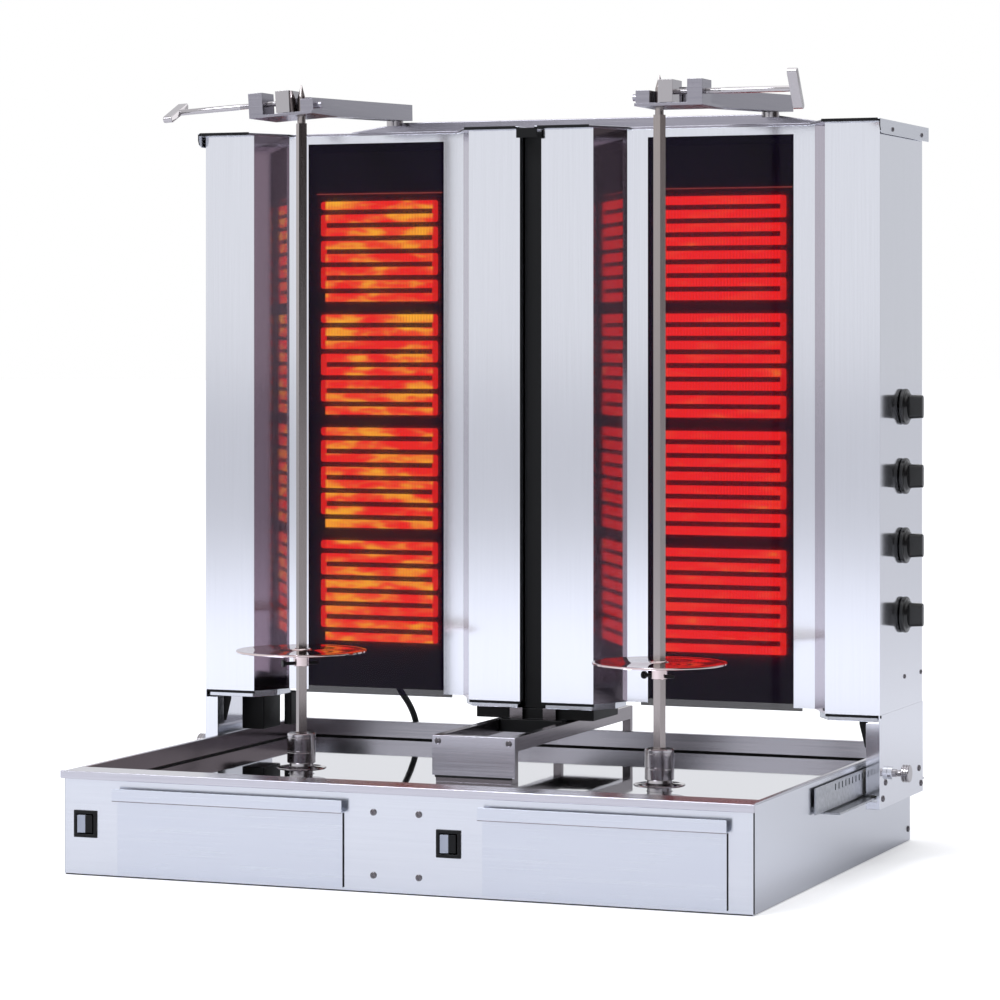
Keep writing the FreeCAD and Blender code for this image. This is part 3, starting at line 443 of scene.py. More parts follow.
def fit(piece, material, body, *stands_for, slot=None):
    """Give a piece its finish and its body, and name the frame nodes that it stands for."""
    if bpy.context.object and bpy.context.object.mode != "OBJECT":
        bpy.ops.object.mode_set(mode="OBJECT")
    if material is not None:
        piece.data.materials.clear()
        piece.data.materials.append(material)
    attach(piece, body)
    if stands_for:
        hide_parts(*stands_for)
    return piece


def twin(piece, name, matrix):
    """A copy with its own mesh, moved by a matrix."""
    copy = bpy.data.objects.new(name, piece.data.copy())
    copy.data.transform(matrix)
    if matrix.determinant() < 0:
        copy.data.flip_normals()
    bpy.context.scene.collection.objects.link(copy)
    return copy


def join(name, *pieces):
    """Make several pieces one."""
    clear_selection()
    for item in pieces:
        item.select_set(True)
    bpy.context.view_layer.objects.active = pieces[0]
    bpy.ops.object.join()
    whole = bpy.context.object
    whole.name = name
    return whole


print("modelling helpers ready")

# %% [markdown]
# ## Folded sheet and plain bars
# Sheet steel is bent over a press brake's edge, which leaves an outside radius of about a millimetre, and
# sawn bars have their edges broken. A sharp CAD edge never catches the light, and a rounded one draws the
# thin bright line that makes metal look real. So a copy of each such node has its loose triangles merged,
# its flat faces dissolved back to whole faces, and its edges rounded.

# %% Folded sheet and plain bars
def formed(node, radius, segments=2):
    """A copy of a frame node with rounded edges, in its finish, riding on its body."""
    clear_selection()
    piece = bpy.data.objects.new(node + "_formed", frame["nodes"][node].data.copy())
    bpy.context.scene.collection.objects.link(piece)
    piece.select_set(True)
    bpy.context.view_layer.objects.active = piece
    if piece.data.has_custom_normals:
        bpy.ops.mesh.customdata_custom_splitnormals_clear()
    bpy.ops.object.mode_set(mode="EDIT")
    bpy.ops.mesh.select_all(action="SELECT")
    bpy.ops.mesh.remove_doubles(threshold=0.00002)
    bpy.ops.mesh.dissolve_limited(angle_limit=math.radians(0.6))
    bpy.ops.object.mode_set(mode="OBJECT")
    round_edges(piece, radius, segments=segments)
    return fit(piece, finish_of_node[node], body_of_node[node], node)


edge_radius = {"base_housing": 1.0, "drip_tray": 0.8, "left_tower_casing": 1.2, "right_tower_casing": 1.2,
               "tower_caps": 0.6, "wing_pans": 0.7, "left_side_plate": 0.5, "right_side_plate": 0.5,
               "top_beam": 1.2, "left_arm": 1.0, "right_arm": 1.0, "left_clamp_jaw": 0.8,
               "right_clamp_jaw": 0.8, "centre_guide": 0.9, "guide_cover": 0.5, "post_brackets": 0.4,
               "guide_slider": 1.0, "centre_post": 1.5, "wiring_box": 1.5, "window_glasses": 0.6,
               "carriage_rails": 0.5, "lock_racks": 0.3, "carriage_glides": 0.6, "spit_motors": 1.5,
               "heater_boards": 1.0, "arm_studs": 0.6, "left_spit": 0.5, "right_spit": 0.5,
               "left_drawer": 0.5, "right_drawer": 0.5}
shown = {}
for node, radius in edge_radius.items():
    shown[node] = formed(node, radius)


def repaint(piece, material, test):
    """Give the faces picked by place and normal another finish."""
    piece.data.materials.append(material)
    slot_number = len(piece.data.materials) - 1
    for face in piece.data.polygons:
        if test(face.center / mm - Vector((0, front_y / mm, 0)), face.normal):
            face.material_index = slot_number


# painted shade: black plastic on the caps' lower front edges over the wings, outer ends included, and on the
# caps' edges above the slanted wing faces, for the shade along the lids' edges
repaint(shown["tower_caps"], black_abs, lambda place, normal: place.z < 1052.3 and (
    place.y < 483 or (483 <= place.y < 552 and place.z > 1049.2 and abs(normal.z) < 0.5
                      and abs(abs(place.x) - 272.7) < 200)))
# the tray's floor is polished; the inner face of its left wall is given a darker, brownish grey steel
repaint(shown["drip_tray"], steel_polished, lambda place, normal: normal.z > 0.9 and place.z < 122)
repaint(shown["drip_tray"], tray_wall_steel, lambda place, normal: normal.x > 0.7 and place.x < -480
        and 117.5 < place.z < 143)
repaint(shown["tower_caps"], steel_beam, lambda place, normal: normal.y < -0.5 and place.y > 500)
# painted reflection: the wings' slanted inner faces get the darker, purple-tinted steel
for side in ("left", "right"):
    repaint(shown[side + "_tower_casing"], steel_slant_painted_reflection, lambda place, normal: abs(normal.z) < 0.2
            and normal.y < -0.2 and abs(normal.x) > 0.3)
print("rounded", len(shown), "nodes,", sum(len(p.data.polygons) for p in shown.values()), "faces")

# %% [markdown]
# ## Heating strips
# Each tower has four zones, and each zone is one alloy ribbon laid in eight runs. The ribbon is folded into
# pleats, so that a lot of it fits in a run, and its long edges look scalloped. One run is modelled from a
# flat grid: every other column of corners is pushed forward and a little outward, which makes the pleats,
# and the turns between runs are plain flat strip. The run is copied to make a zone, and the zone to make
# all eight.

# %% Heating strips: one pleated run
run_long, run_tall, pleat = 178, 12.4, 2.4
columns = int(run_long / pleat) * 2
run = begin("pleated_run", bpy.ops.mesh.primitive_grid_add, x_subdivisions=columns, y_subdivisions=2,
            size=1 * mm, stretch=(run_long, run_tall - 1.2, 1), rotation=(math.radians(90), 0, 0))
step = run_long / columns
choose(run, lambda place, normal: round((place.x / mm + run_long / 2) / step) % 2 == 1, "VERT")
bpy.ops.transform.translate(value=(0, -1.5 * mm, 0))
choose(run, lambda place, normal: round((place.x / mm + run_long / 2) / step) % 2 == 1
       and abs(place.z) > 3 * mm, "VERT")
bpy.ops.transform.resize(value=(1, 1, 1.2))
bpy.ops.object.mode_set(mode="OBJECT")
print("a run has", len(run.data.polygons), "faces and", columns // 2, "pleats")

# %% [markdown]
# The turns and the straight tails are the same ribbon left flat. They are one strip around the end of two
# runs, with rounded outer corners.

# %% Heating strips: the turns, a zone and the towers
turn = begin("flat_turn", bpy.ops.mesh.primitive_cube_add, size=1 * mm, scale=(9, 0.8, 32.3))
choose(turn, lambda middle, along: abs(along.y) > 0.9 and middle.x > 0, "EDGE")
bpy.ops.mesh.bevel(offset=3 * mm, segments=4)
bpy.ops.object.mode_set(mode="OBJECT")
tail = begin("flat_tail", bpy.ops.mesh.primitive_cube_add, size=1 * mm, scale=(9, 0.8, 12.4))
choose(tail, lambda middle, along: abs(along.y) > 0.9 and middle.x > 0, "EDGE")
bpy.ops.mesh.bevel(offset=4 * mm, segments=4)
bpy.ops.object.mode_set(mode="OBJECT")
strip_y = front_y + 568 * mm
runs, turns = [], []
for side in (-1, 1):
    for zone in range(4):
        for index in range(8):
            height = (950.3 - 6.2 - zone * 171.2 - index * 19.9) * mm
            middle = side * 0.2727
            runs.append(twin(run, "run", Matrix.Translation((middle, strip_y, height))))
            if index < 7:
                right = index % 2 == 0
                flip = Matrix.Identity(4) if right else Matrix.Rotation(math.pi, 4, "Z")
                place = Vector((middle + (91.5 if right else -91.5) * mm, strip_y, height - 9.95 * mm))
                turns.append(twin(turn, "turn", Matrix.Translation(place) @ flip))
            if index in (0, 7):
                place = Vector((middle - 91.5 * mm, strip_y, height))
                if index == 0:
                    turns.append(twin(tail, "tail", Matrix.Translation(place)
                                      @ Matrix.Rotation(math.pi, 4, "Z")))
for start in (run, turn, tail):
    bpy.data.objects.remove(start)
pleated = join("pleated_heating_strips", *runs)
flat = join("flat_heating_turns", *turns)
fit(pleated, strip_glow, "carriage", "heating_elements", slot="heating_strip")
repaint(pleated, strip_glow_right, lambda place, normal: place.x > 0)
fit(flat, turn_glow, "carriage", slot="heating_strip")
print("heating strips:", len(pleated.data.polygons), "pleated faces and", len(flat.data.polygons), "flat ones")

# %% [markdown]
# ## Pan-head screws
# The sheets are held with 9 mm stainless pan-head screws with a cross recess. One head is a cylinder whose
# top is drawn in to a dome, with the cross cut by a boolean. It is then copied to every place.

# %% Pan-head screws
def pan_head(radius, height):
    head = begin("screw_head", bpy.ops.mesh.primitive_cylinder_add, vertices=24, radius=radius * mm,
                 depth=height * mm, location=(0, 0, height / 2 * mm))
    choose(head, lambda middle, normal: normal.z > 0.9)
    bpy.ops.mesh.inset(thickness=radius * 0.12 * mm)
    bpy.ops.transform.translate(value=(0, 0, 0))
    bpy.ops.mesh.inset(thickness=radius * 0.3 * mm)
    bpy.ops.mesh.select_more()
    bpy.ops.object.mode_set(mode="OBJECT")
    for corner in head.data.vertices:
        out = math.hypot(corner.co.x, corner.co.y) / (radius * mm)
        if corner.co.z > height * 0.9 * mm:
            corner.co.z = height * mm * (1 - 0.45 * out ** 2.5)
    cutters = []
    for turned in (0, 90):
        cutters.append(begin("recess", bpy.ops.mesh.primitive_cube_add, size=1,
                             scale=(radius * 1.05 * mm, radius * 0.24 * mm, height * 0.9 * mm),
                             location=(0, 0, height * mm), rotation=(0, 0, math.radians(turned))))
    for cutter in cutters:
        apply(head, "BOOLEAN", object=cutter, operation="DIFFERENCE", solver="EXACT")
        bpy.data.objects.remove(cutter)
    clear_selection()
    head.select_set(True)
    bpy.context.view_layer.objects.active = head
    bpy.ops.object.shade_smooth_by_angle(angle=math.radians(35))
    return head


def lay_screws(name, head, spots, body, *stands_for):
    """Copies of a head: each spot is its place in millimetres, the way it faces and the turn of its recess."""
    heads = []
    for index, (x, y, z, face) in enumerate(spots):
        way = {"front": Euler((math.radians(90), 0, 0)), "right": Euler((0, math.radians(90), 0)),
               "left": Euler((0, math.radians(-90), 0)), "back": Euler((math.radians(-90), 0, 0)),
               "up": Euler((0, 0, 0))}[face]
        place = Matrix.Translation((x * mm, front_y + y * mm, z * mm))
        spin = Matrix.Rotation(0.7 * index + 0.3, 4, "Z")
        heads.append(twin(head, "head", place @ way.to_matrix().to_4x4() @ spin))
    return fit(join(name, *heads), screw_steel, body, *stands_for)


front_head = pan_head(4.5, 2.4)
lay_screws("base_screw_heads", front_head,
           [(x, 0, z, "front") for x in (-33, 33) for z in (23.6, 108)]
           + [(x, 274, 174.6, "front") for x in (-53.8, 53.8)]
           + [(500, 751, 18, "right"), (-500, 751, 18, "left")], "base", "base_screws")
lay_screws("leg_screw_heads", front_head,
           [(side * 528.6, y, z, face) for side, face in ((1, "right"), (-1, "left"))
            for y, z in ((526, 113.5), (512.5, 92), (707, 114), (718, 91))], "carriage", "tower_screws")
small_head = pan_head(3.3, 2.0)
lay_screws("panel_screw_heads", small_head,
           [(side * 528.55, y, z, face) for side, face in ((1, "right"), (-1, "left"))
            for y, z in ((627.5, 255), (717.6, 254))]
           + [(side * 533.55, y, 1040, face) for side, face in ((1, "right"), (-1, "left"))
              for y in (546, 704)]
           + [(x, 724.5, z, "back") for x in (-500, -290, -45, 45, 290, 500) for z in (236, 630, 1015)],
           "carriage")
for start in (front_head, small_head):
    bpy.data.objects.remove(start)
print("screws laid")

# %% [markdown]
# ## Control knobs
# Each zone has a black phenolic knob on the tower's side: a round skirt with a raised grip bar across it.
# The skirt starts as a cylinder whose face is inset and raised into a drum. The grip is a bar with rounded
# flanks, a little narrower at its end, with a white index line let into its edge. One knob is made for
# the right-hand side and mirrored for the left.

# %% Control knobs
skin = 528.55
skirt = begin("knob_skirt", bpy.ops.mesh.primitive_cylinder_add, vertices=64, radius=26 * mm, depth=6.4 * mm,
              rotation=(0, math.radians(90), 0), location=((skin + 3.9) * mm, 0, 0))
choose(skirt, lambda middle, normal: normal.x > 0.9)
bpy.ops.mesh.inset(thickness=4.6 * mm)
bpy.ops.mesh.extrude_region_move(TRANSFORM_OT_translate={"value": (4.2 * mm, 0, 0)})
bpy.ops.transform.resize(value=(1, 0.9, 0.9))
round_edges(skirt, 1.6, segments=3)
grip = begin("knob_grip", bpy.ops.mesh.primitive_cube_add, size=1,
             scale=(22 * mm, 13 * mm, 35 * mm), location=((skin + 19) * mm, 0, 0))
choose(grip, lambda middle, normal: normal.x > 0.9)
bpy.ops.transform.resize(value=(1, 0.72, 0.92))
choose(grip, lambda middle, along: abs(along.x) > 0.5 and abs(middle.z) > 10 * mm, "EDGE")
bpy.ops.mesh.bevel(offset=5 * mm, segments=5)
round_edges(grip, 1.4, segments=3)
index_line = begin("knob_index", bpy.ops.mesh.primitive_cube_add, size=1,
                   scale=(12 * mm, 1.4 * mm, 1.2 * mm), location=((skin + 23) * mm, 0, 16.9 * mm))
round_edges(index_line, 0.3)
index_line.data.materials.append(white_fill)
for part in (skirt, grip):
    part.data.materials.append(black_resin)
knob = join("knob_master", skirt, grip, index_line)
for side, name in ((1, "right"), (-1, "left")):
    for number in range(4):
        level = (345 + 99.8 * number) * mm
        place = Matrix.Translation((0, front_y + 617.8 * mm, level)) @ Matrix.Diagonal((side, 1, 1, 1))
        copy = twin(knob, f"{name}_knob_{number + 1}_moulding", place)
        fit(copy, None, f"{name}_control_knob_{number + 1}", f"{name}_knob_{number + 1}", slot="black_plastic")
bpy.data.objects.remove(knob)
print("eight knobs turned on")

# %% [markdown]
# ## Rocker switches
# Each spit motor has a snap-in rocker switch: a black frame round a rocker whose raised half is grey and
# whose pressed half is black. The frame is a cube with its front face inset and pushed in. The rocker is a
# bar with a shallow V in its front.

# %% Rocker switches
for name, middle in (("left", -467.6), ("right", 75.9)):
    frame_part = box_from(name + "_switch_frame", (middle - 17.75, middle + 17.75), (-2.2, 20),
                          (71 - 18.75, 71 + 18.75))
    choose(frame_part, lambda place, normal: normal.y < -0.9)
    bpy.ops.mesh.inset(thickness=5 * mm)
    bpy.ops.mesh.extrude_region_move(TRANSFORM_OT_translate={"value": (0, 14 * mm, 0)})
    bpy.ops.object.mode_set(mode="OBJECT")
    round_edges(frame_part, 0.9, segments=3)
    fit(frame_part, black_abs, "base", name + "_switch_housing", slot="black_plastic")

    reach = 35.5 / 2 - 7
    rocker = box_from(name + "_rocker_cap", (middle - reach, middle + reach), (-1.6, 3.6),
                      (71 - 12.2, 71 + 12.2))
    choose(rocker, lambda place, normal: True)
    bpy.ops.mesh.subdivide(number_cuts=1)
    choose(rocker, lambda place, normal: place.x / mm < middle - reach + 0.1 and place.y < front_y, "VERT")
    bpy.ops.transform.translate(value=(0, -3.4 * mm, 0))
    choose(rocker, lambda place, normal: place.x / mm > middle + reach - 0.1 and place.y < front_y, "VERT")
    bpy.ops.transform.translate(value=(0, 0.6 * mm, 0))
    bpy.ops.object.mode_set(mode="OBJECT")
    rocker.data.materials.append(grey_abs)
    rocker.data.materials.append(black_abs)
    for face in rocker.data.polygons:
        face.material_index = 1 if face.center.x / mm > middle else 0
    round_edges(rocker, 0.7, segments=3)
    fit(rocker, None, name + "_switch_rocker", name + "_rocker", slot="grey_plastic")
print("rocker switches fitted")

# %% [markdown]
# ## Spit hubs and discs
# The hub is turned from bar: a splash flange just over the tray, a neck and a cup that holds the spit's
# foot. The disc that the meat stands on is a pressed plate with a slightly rolled edge and a collar, pinned
# through the spit. Both are round about the spit, so their outlines are spun: a chain of corners is drawn in
# a plane and turned through a full circle.

# %% Spit hubs and discs
def spun(name, outline, centre, steps=96):
    """Turn an outline of (radius, height) corners, in millimetres, about an upright axis."""
    clear_selection()
    mesh = bpy.data.meshes.new(name)
    mesh.from_pydata([(r * mm, 0, z * mm) for r, z in outline],
                     [(i, i + 1) for i in range(len(outline) - 1)], [])
    piece = bpy.data.objects.new(name, mesh)
    bpy.context.scene.collection.objects.link(piece)
    piece.select_set(True)
    bpy.context.view_layer.objects.active = piece
    bpy.ops.object.mode_set(mode="EDIT")
    bpy.ops.mesh.select_all(action="SELECT")
    bpy.ops.mesh.spin(steps=steps, angle=2 * math.pi, center=(0, 0, 0), axis=(0, 0, 1))
    bpy.ops.mesh.select_all(action="SELECT")
    bpy.ops.mesh.remove_doubles(threshold=0.00001)
    bpy.ops.mesh.normals_make_consistent(inside=False)
    bpy.ops.object.mode_set(mode="OBJECT")
    piece.data.transform(Matrix.Translation(Vector(centre)))
    bpy.ops.object.shade_smooth_by_angle(angle=math.radians(30))
    return piece


hub_outline = [(0, 78), (9.95, 78), (9.95, 114), (17, 114), (17, 124.6), (35.2, 124.6), (36, 125.2),
               (36, 126.4), (35.2, 127), (20, 127.6), (17.6, 129), (17, 133), (19.6, 133), (20.5, 134),
               (20.5, 148), (20.1, 148.5), (20.1, 150.5), (20.5, 151), (20.5, 169), (20.1, 169.5),
               (20.1, 171), (20.5, 171.5), (20.5, 174.6), (19.2, 176), (9.4, 176), (8.9, 175.5),
               (8.9, 151), (0, 151)]
disc_outline = [(8.9, 277), (8.9, 296.4), (10, 297), (13.4, 297), (14, 296.4), (14, 295.6), (16, 295.0),
                (88, 295.0), (92.4, 295.3), (93.6, 294.9), (94, 293.8), (93.8, 292.6), (92.8, 292.1),
                (88, 292.4), (16, 292.2), (13, 291), (11.5, 289), (11.5, 272.6), (11, 272), (9.4, 272),
                (8.9, 272.5), (8.9, 277)]
for name, side in (("left", -1), ("right", 1)):
    centre = (side * 0.2722, front_y + 0.288, 0)
    hub = spun(name + "_turned_hub", hub_outline, centre)
    fit(hub, steel_turned, name + "_spindle", name + "_spit_hub", slot="polished_stainless")
    disc = spun(name + "_meat_disc", disc_outline, centre)
    disc.data.materials.append(disc_steel)
    turned = math.radians(44 if side < 0 else -19.4)
    pin = begin(name + "_disc_pin", bpy.ops.mesh.primitive_cylinder_add, vertices=20, radius=2.6 * mm,
                depth=50 * mm, rotation=(0, math.radians(90), 0))
    choose(pin, lambda middle, normal: normal.x < -0.9)
    bpy.ops.mesh.extrude_region_move(TRANSFORM_OT_translate={"value": (-0.2 * mm, 0, 0)})
    bpy.ops.transform.resize(value=(1, 2.1, 2.1))
    bpy.ops.mesh.extrude_region_move(TRANSFORM_OT_translate={"value": (-4 * mm, 0, 0)})
    round_edges(pin, 0.7)
    pin.data.transform(Matrix.Translation((centre[0], centre[1], 0.276)) @ Matrix.Rotation(turned, 4, "Z"))
    pin.data.materials.append(black_abs)
    fit(join(name + "_disc_and_pin", disc, pin), None, name + "_spindle", name + "_spit_disc",
        slot="polished_stainless")
print("hubs and discs spun")

# %% [markdown]
# ## Clamp screws and their T-handles
# A clamp at the end of each top arm closes round the spit's round end. Its screw is an 8 mm rod with a
# coarse thread where it runs in the tapped block, and a flat T-handle with rounded ends welded on. The
# thread is shown by rings, a pitch apart, on a spun outline; the handle is a bar with its ends bevelled
# round. Both are made upright or straight and then laid along the clamp.

# %% Clamp screws and their T-handles
def clamp_place(side):
    """From the clamp's own axes, X outward along the screw, to the machine's frame."""
    tilt = Matrix.Rotation(0 if side > 0 else math.radians(-3.5), 4, "Y")
    spot = Matrix.Translation((side * 0.2722, front_y + 0.288, 1.067))
    return spot @ tilt


thread = [(0, 15), (3.4, 15), (4.0, 16)]
for ring in range(38):
    thread += [(4.0, 16.6 + ring * 2), (3.45, 17.2 + ring * 2), (3.45, 17.6 + ring * 2), (4.0, 18.2 + ring * 2)]
thread += [(4.0, 96), (4.3, 97), (4.3, 190), (4.0, 191), (4.0, 194), (0, 194)]
for name, side, lean in (("left", -1, -67), ("right", 1, 32)):
    screw = spun(name + "_clamp_screw", thread, (0, 0, 0), steps=32)
    screw.data.transform(Matrix.Translation((0, -0.006, 0.016))
                         @ Matrix.Rotation(math.radians(90 * side), 4, "Y"))
    screw.data.materials.append(steel_turned)
    bar = begin(name + "_tee", bpy.ops.mesh.primitive_cube_add, size=1,
                scale=(14 * mm, 10 * mm, 62 * mm))
    choose(bar, lambda middle, along: abs(along.x) > 0.9, "EDGE")
    bpy.ops.mesh.bevel(offset=4.6 * mm, segments=6)
    choose(bar, lambda middle, normal: abs(normal.x) > 0.9)
    bpy.ops.mesh.inset(thickness=0.8 * mm)
    round_edges(bar, 0.8, segments=3)
    bar.data.transform(Matrix.Translation((side * 0.198, -0.006, 0.016))
                       @ Matrix.Rotation(math.radians(lean), 4, "X"))
    bar.data.materials.append(steel_turned)
    handle = join(name + "_clamp_screw_and_tee", screw, bar)
    handle.data.transform(clamp_place(side))
    fit(handle, None, name + "_handle", name + "_clamp_handle", slot="zinc_steel")
print("clamp screws made")

# %% [markdown]
# ## Lock plungers
# A spring plunger on each side plate drops into the slotted rack and holds the towers at the chosen distance
# from the meat. Its stem is turned, with a waist, and its head is turned with two grooves for the fingers.

# %% Lock plungers
plunger = [(0, -21.6), (2.2, -21.6), (2.2, -10), (5.5, -10), (5.5, 12), (4.6, 13), (4.6, 18), (5.5, 19),
           (5.5, 21), (11.5, 21), (12.5, 22), (12.5, 23.6), (11.3, 24.3), (11.3, 25.2), (12.5, 25.9),
           (12.5, 27.6), (11.3, 28.3), (11.3, 29.2), (12.5, 29.9), (12.5, 31), (11.5, 32), (0, 32)]
for name, side in (("left", -1), ("right", 1)):
    lock = spun(name + "_lock_turning", plunger, (0, 0, 0), steps=48)
    lock.data.transform(Matrix.Translation((side * 0.5286, front_y + 0.5408, 0.1255))
                        @ Matrix.Rotation(math.radians(90 * side), 4, "Y"))
    fit(lock, steel_turned, name + "_lock", name + "_lock_plunger", slot="zinc_steel")
print("lock plungers made")

# %% [markdown]
# ## Painted shadow lines, struts and small black parts
# Where parts meet, shade falls in a thin dark line: round the tray's floor, down the base's front corners,
# under the guide's front, along the base's foot and beside each drawer. Each of these lines of shade is
# painted on as a thin black strip with rounded edges, and the shade under each drawer's lip as a strip of
# darker steel. Black strips along the caps' and pans' edges over the wings, a black plate at the top of the
# gap between the towers and a black strip beside the left heater board are painted shade as well. A gusset
# stiffens each leg, a cable duct runs up behind the left leg and a thin steel retaining strip crosses the top
# of each heater board, with the heaters' red light on it painted in as its own glow.

# %% Painted shadow lines, struts and small black parts
def strip(name, x, y, z, material, body, radius=0.3):
    made = box_from(name, x, y, z)
    round_edges(made, radius)
    return fit(made, material, body)


tray_shadow_levels, tray_depth = (117.05, 119.2), (48, 751)
cap_levels, pan_levels = (1049.4, 1053.4), (206.4, 210.4)
tower_middle, board_half = 272.7, 104
# painted shadow: black strips for the shade at the tray's rear wall, under the guide's front and along the
# base's foot
strip("tray_seam_rear", (-491, 491), (751.6, 752.9), tray_shadow_levels, shadow_black, "base")
strip("guide_seam", (-58.5, 58.5), (273.2, 274.6), (123.4, 126.4), shadow_black, "base")
strip("base_foot_seam", (-499, 499), (-0.4, 0.6), (0.1, 1.5), shadow_black, "base", 0.2)
for name, side in (("left", -1), ("right", 1)):
    # painted shadow: black strips for the shade along the tray's side walls and down the base's front corners
    strip("tray_seam_" + name, sorted((side * 491.2, side * 492.5)), tray_depth, tray_shadow_levels, shadow_black, "base")
    strip("corner_seam_" + name, sorted((side * 499.9, side * 500.4)), (0.2, 4.6), (2, 132.5), shadow_black,
          "base", 0.1)
    middle = side * tower_middle
    # painted glow: the retaining strip across the top of each heater board glows with the heaters' light
    # painted in
    strip(name + "_board_strip", (middle - board_half, middle + board_half), (569.6, 571.6), (961, 962.6),
          painted_heater_glow, "carriage")
    gusset = box_from(name + "_leg_gusset", sorted((side * 506, side * 494)), (512, 515), (196, 200.6))
    choose(gusset, lambda place, normal: normal.z < -0.9)
    bpy.ops.mesh.extrude_region_move(TRANSFORM_OT_translate={"value": (side * 4 * mm, 0, -33 * mm)})
    bpy.ops.transform.resize(value=(0.3, 1, 1))
    round_edges(gusset, 0.5)
    fit(gusset, powder_black, "carriage")
for name, low, high in (("left_outer", -530, -447.7), ("left_inner", -97.7, -16.9),
                        ("right_inner", 16.9, 97.7), ("right_outer", 447.7, 530)):
    # painted shade: black strips along the caps' front edges and along the wings' lower edges at the pans, for
    # the shade there
    strip(name + "_cap_trim", (low, high), (478.2, 480), cap_levels, black_abs, "carriage", 0.5)
    strip(name + "_pan_trim", (low, high), (499.2, 500.6), pan_levels, black_abs, "carriage", 0.4)
for name, low, high in (("left", -420.4, -74.7), ("right", 121.8, 467.5)):
    # painted shadow: a thin strip of darker steel under each drawer's lip, for the shade beneath the overhang
    strip(name + "_lip_bead", (low, high), (-13.3, -12.8), (105.4, 106.6), steel_rail,
          name + "_drawer_body", 0.2)
    # painted shadow: a black strip down each drawer's right-hand edge, for the shade in the gap
    strip(name + "_drawer_gap", (high - 2.9, high - 1.7), (-1.9, -0.5), (5, 105), shadow_black, "base", 0.2)
# painted shade: a black plate at the top of the gap between the towers, where the caps' flanges lie in shade
strip("post_top_bracket", (-16.4, 16.4), (480.5, 482.5), (1036, 1050.5), powder_black, "carriage", 0.8)
# painted shadow: a black strip along the right edge of the left heater board, for the shade cast by the window
# frame
strip("left_dark_joint", (-171, -163), (569.6, 571.0), (215, 1034), black_abs, "carriage")
strip("cable_duct", (-446, -434), (600, 622), (150, 201), powder_black, "carriage", 2.0)
print("painted shadow lines and struts laid")

# %% [markdown]
# ## Link lead
# A 9.5 mm rubber-sheathed lead carries the power from the base to the moving towers. It leaves the left
# tower's gland downwards, hangs in a loop behind the base and goes back into the base's gland. It is a
# smooth NURBS line through its route, with a round bevel, turned into a mesh that stays where it is drawn
# and is carried by no body.

# %% Link lead
rear_y = 0.3815
route = [(-305, rear_y / mm - 57, 214), (-305, rear_y / mm - 38, 195), (-305, rear_y / mm - 2, 172),
         (-305, rear_y / mm + 26, 142), (-304, rear_y / mm + 33, 100), (-298, rear_y / mm + 33, 58),
         (-270, rear_y / mm + 33, 29), (-236, rear_y / mm + 33, 33), (-215, rear_y / mm + 33, 64)]
curve = bpy.data.curves.new("lead_line", "CURVE")
curve.dimensions = "3D"
line = curve.splines.new("NURBS")
line.points.add(len(route) - 1)
for point, place in zip(line.points, route):
    point.co = (*(Vector(place) * mm), 1)
line.order_u = 3
line.use_endpoint_u = True
line.resolution_u = 16
smooth_line = bpy.data.objects.new("lead_line", curve)
bpy.context.scene.collection.objects.link(smooth_line)
bpy.context.view_layer.update()
path_mesh = bpy.data.meshes.new_from_object(smooth_line.evaluated_get(bpy.context.evaluated_depsgraph_get()))
curve.bevel_depth = 4.75 * mm
curve.bevel_resolution = 6
clear_selection()
smooth_line.select_set(True)
bpy.context.view_layer.objects.active = smooth_line
bpy.ops.object.convert(target="MESH")
lead = bpy.context.object
lead.name = "link_lead_sheath"
lead.data.materials.clear()
lead.data.materials.append(rubber)
bpy.ops.object.shade_smooth()
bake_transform(lead)
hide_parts("link_lead")

# %% [markdown]
# ## Floor and light
# A plain white studio: a wide pale floor, an even white surround and two large soft lamps. Bare steel
# shows whatever is around it, so the surround is what models it: it is brightest ahead and behind, and
# greyer far to the right, which leaves the right-hand sides darker than the fronts.

# %% Floor and light
bpy.ops.object.select_all(action="DESELECT")
bpy.ops.mesh.primitive_circle_add(vertices=96, radius=60, fill_type="NGON", location=(0, 0, -0.0005))
floor = bpy.context.object
floor.name = "studio_floor"
floor_white, tree, surface = finish("matt_white_floor")
seen = add(tree, "ShaderNodeLightPath").outputs["Is Camera Ray"]
paper = add(tree, "ShaderNodeMix", {"Factor": seen}, data_type="RGBA")
paper.inputs["A"].default_value = linear("#E8E9ED")
paper.inputs["B"].default_value = linear("#F6F6F7")
tree.links.new(paper.outputs["Result"], surface.inputs["Base Color"])
tree.links.new(span(tree, seen, 0.0, 0.3), surface.inputs["Emission Strength"])
surface.inputs["Roughness"].default_value = 0.9
surface.inputs["Specular IOR Level"].default_value = 0.1
surface.inputs["Emission Color"].default_value = (1, 1, 1, 1)
floor.data.materials.append(floor_white)

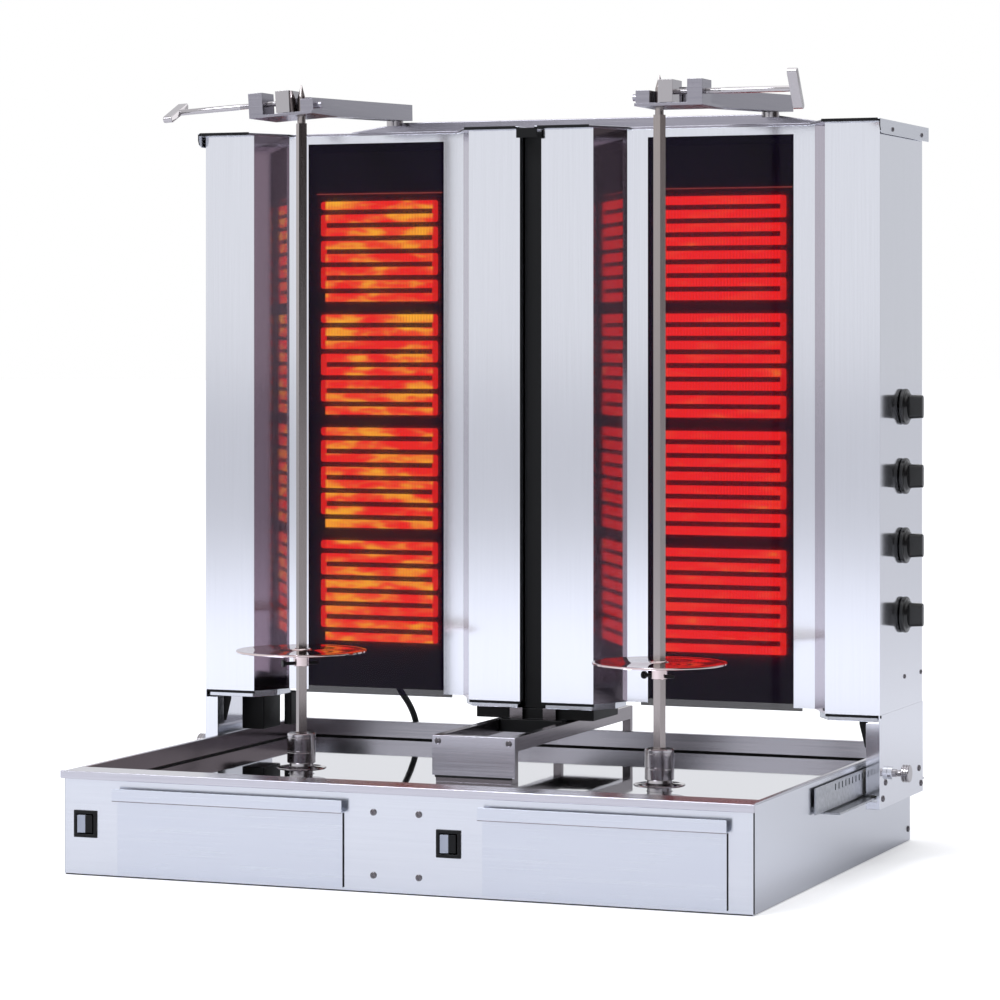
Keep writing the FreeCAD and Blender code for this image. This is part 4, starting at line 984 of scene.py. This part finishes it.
world = bpy.data.worlds.new("studio")
bpy.context.scene.world = world
world.use_nodes = True
sky = world.node_tree
direction = add(sky, "ShaderNodeTexCoord").outputs["Generated"]
split = add(sky, "ShaderNodeSeparateXYZ", {"Vector": direction})
bearing = add(sky, "ShaderNodeMath", {0: split.outputs["X"], 1: split.outputs["Y"]}, operation="ARCTAN2")
round_the_room = add(sky, "ShaderNodeMapRange", {"Value": bearing.outputs[0], "From Min": -math.pi,
                                                 "From Max": math.pi}).outputs[0]
walls = ramp(sky, round_the_room, [((degrees + 180) / 360, code) for degrees, code in (
    (-180, "#F4F6FB"), (-110, "#FAFBFD"), (-60, "#F4F5F8"), (-13, "#F0F1F4"), (8, "#DCDEE3"), (30, "#CFD1D6"),
    (60, "#989496"), (85, "#3C3839"), (125, "#3C3839"), (146, "#D4D6DB"), (180, "#F4F6FB"))])
height_in_room = add(sky, "ShaderNodeMapRange", {"Value": split.outputs["Z"], "From Min": 0.45,
                                                 "From Max": 0.8}).outputs[0]
room = add(sky, "ShaderNodeMix", {"Factor": height_in_room}, data_type="RGBA")
sky.links.new(walls, room.inputs["A"])
room.inputs["B"].default_value = linear("#F6F7FA")
tone = room.outputs["Result"]
backdrop = add(sky, "ShaderNodeMix", {"Factor": add(sky, "ShaderNodeLightPath").outputs["Is Camera Ray"]},
               data_type="RGBA")
sky.links.new(tone, backdrop.inputs["A"])
backdrop.inputs["B"].default_value = (1, 1, 1, 1)
sky.links.new(backdrop.outputs["Result"], sky.nodes["Background"].inputs["Color"])
sky.nodes["Background"].inputs["Strength"].default_value = 1.0


def soft_lamp(name, place, aim, width, power, colour="#FFFFFF"):
    data = bpy.data.lights.new(name, "AREA")
    data.shape = "RECTANGLE"
    data.size = width[0]
    data.size_y = width[1]
    data.energy = power
    data.color = linear(colour)[:3]
    lamp = bpy.data.objects.new(name, data)
    lamp.location = place
    lamp.rotation_euler = (Vector(aim) - Vector(place)).to_track_quat("-Z", "Y").to_euler()
    bpy.context.scene.collection.objects.link(lamp)
    return lamp


soft_lamp("front_lamp", (-1.8, -3.6, 4.4), (-0.6, -1.8, 0.0), (2.4, 2.0), 170, "#F2F6FF")
soft_lamp("top_lamp", (0.4, 0.4, 4.2), (0, 0, 0), (3.5, 3.5), 35)
bpy.context.scene.view_settings.view_transform = "Standard"
print("studio ready")
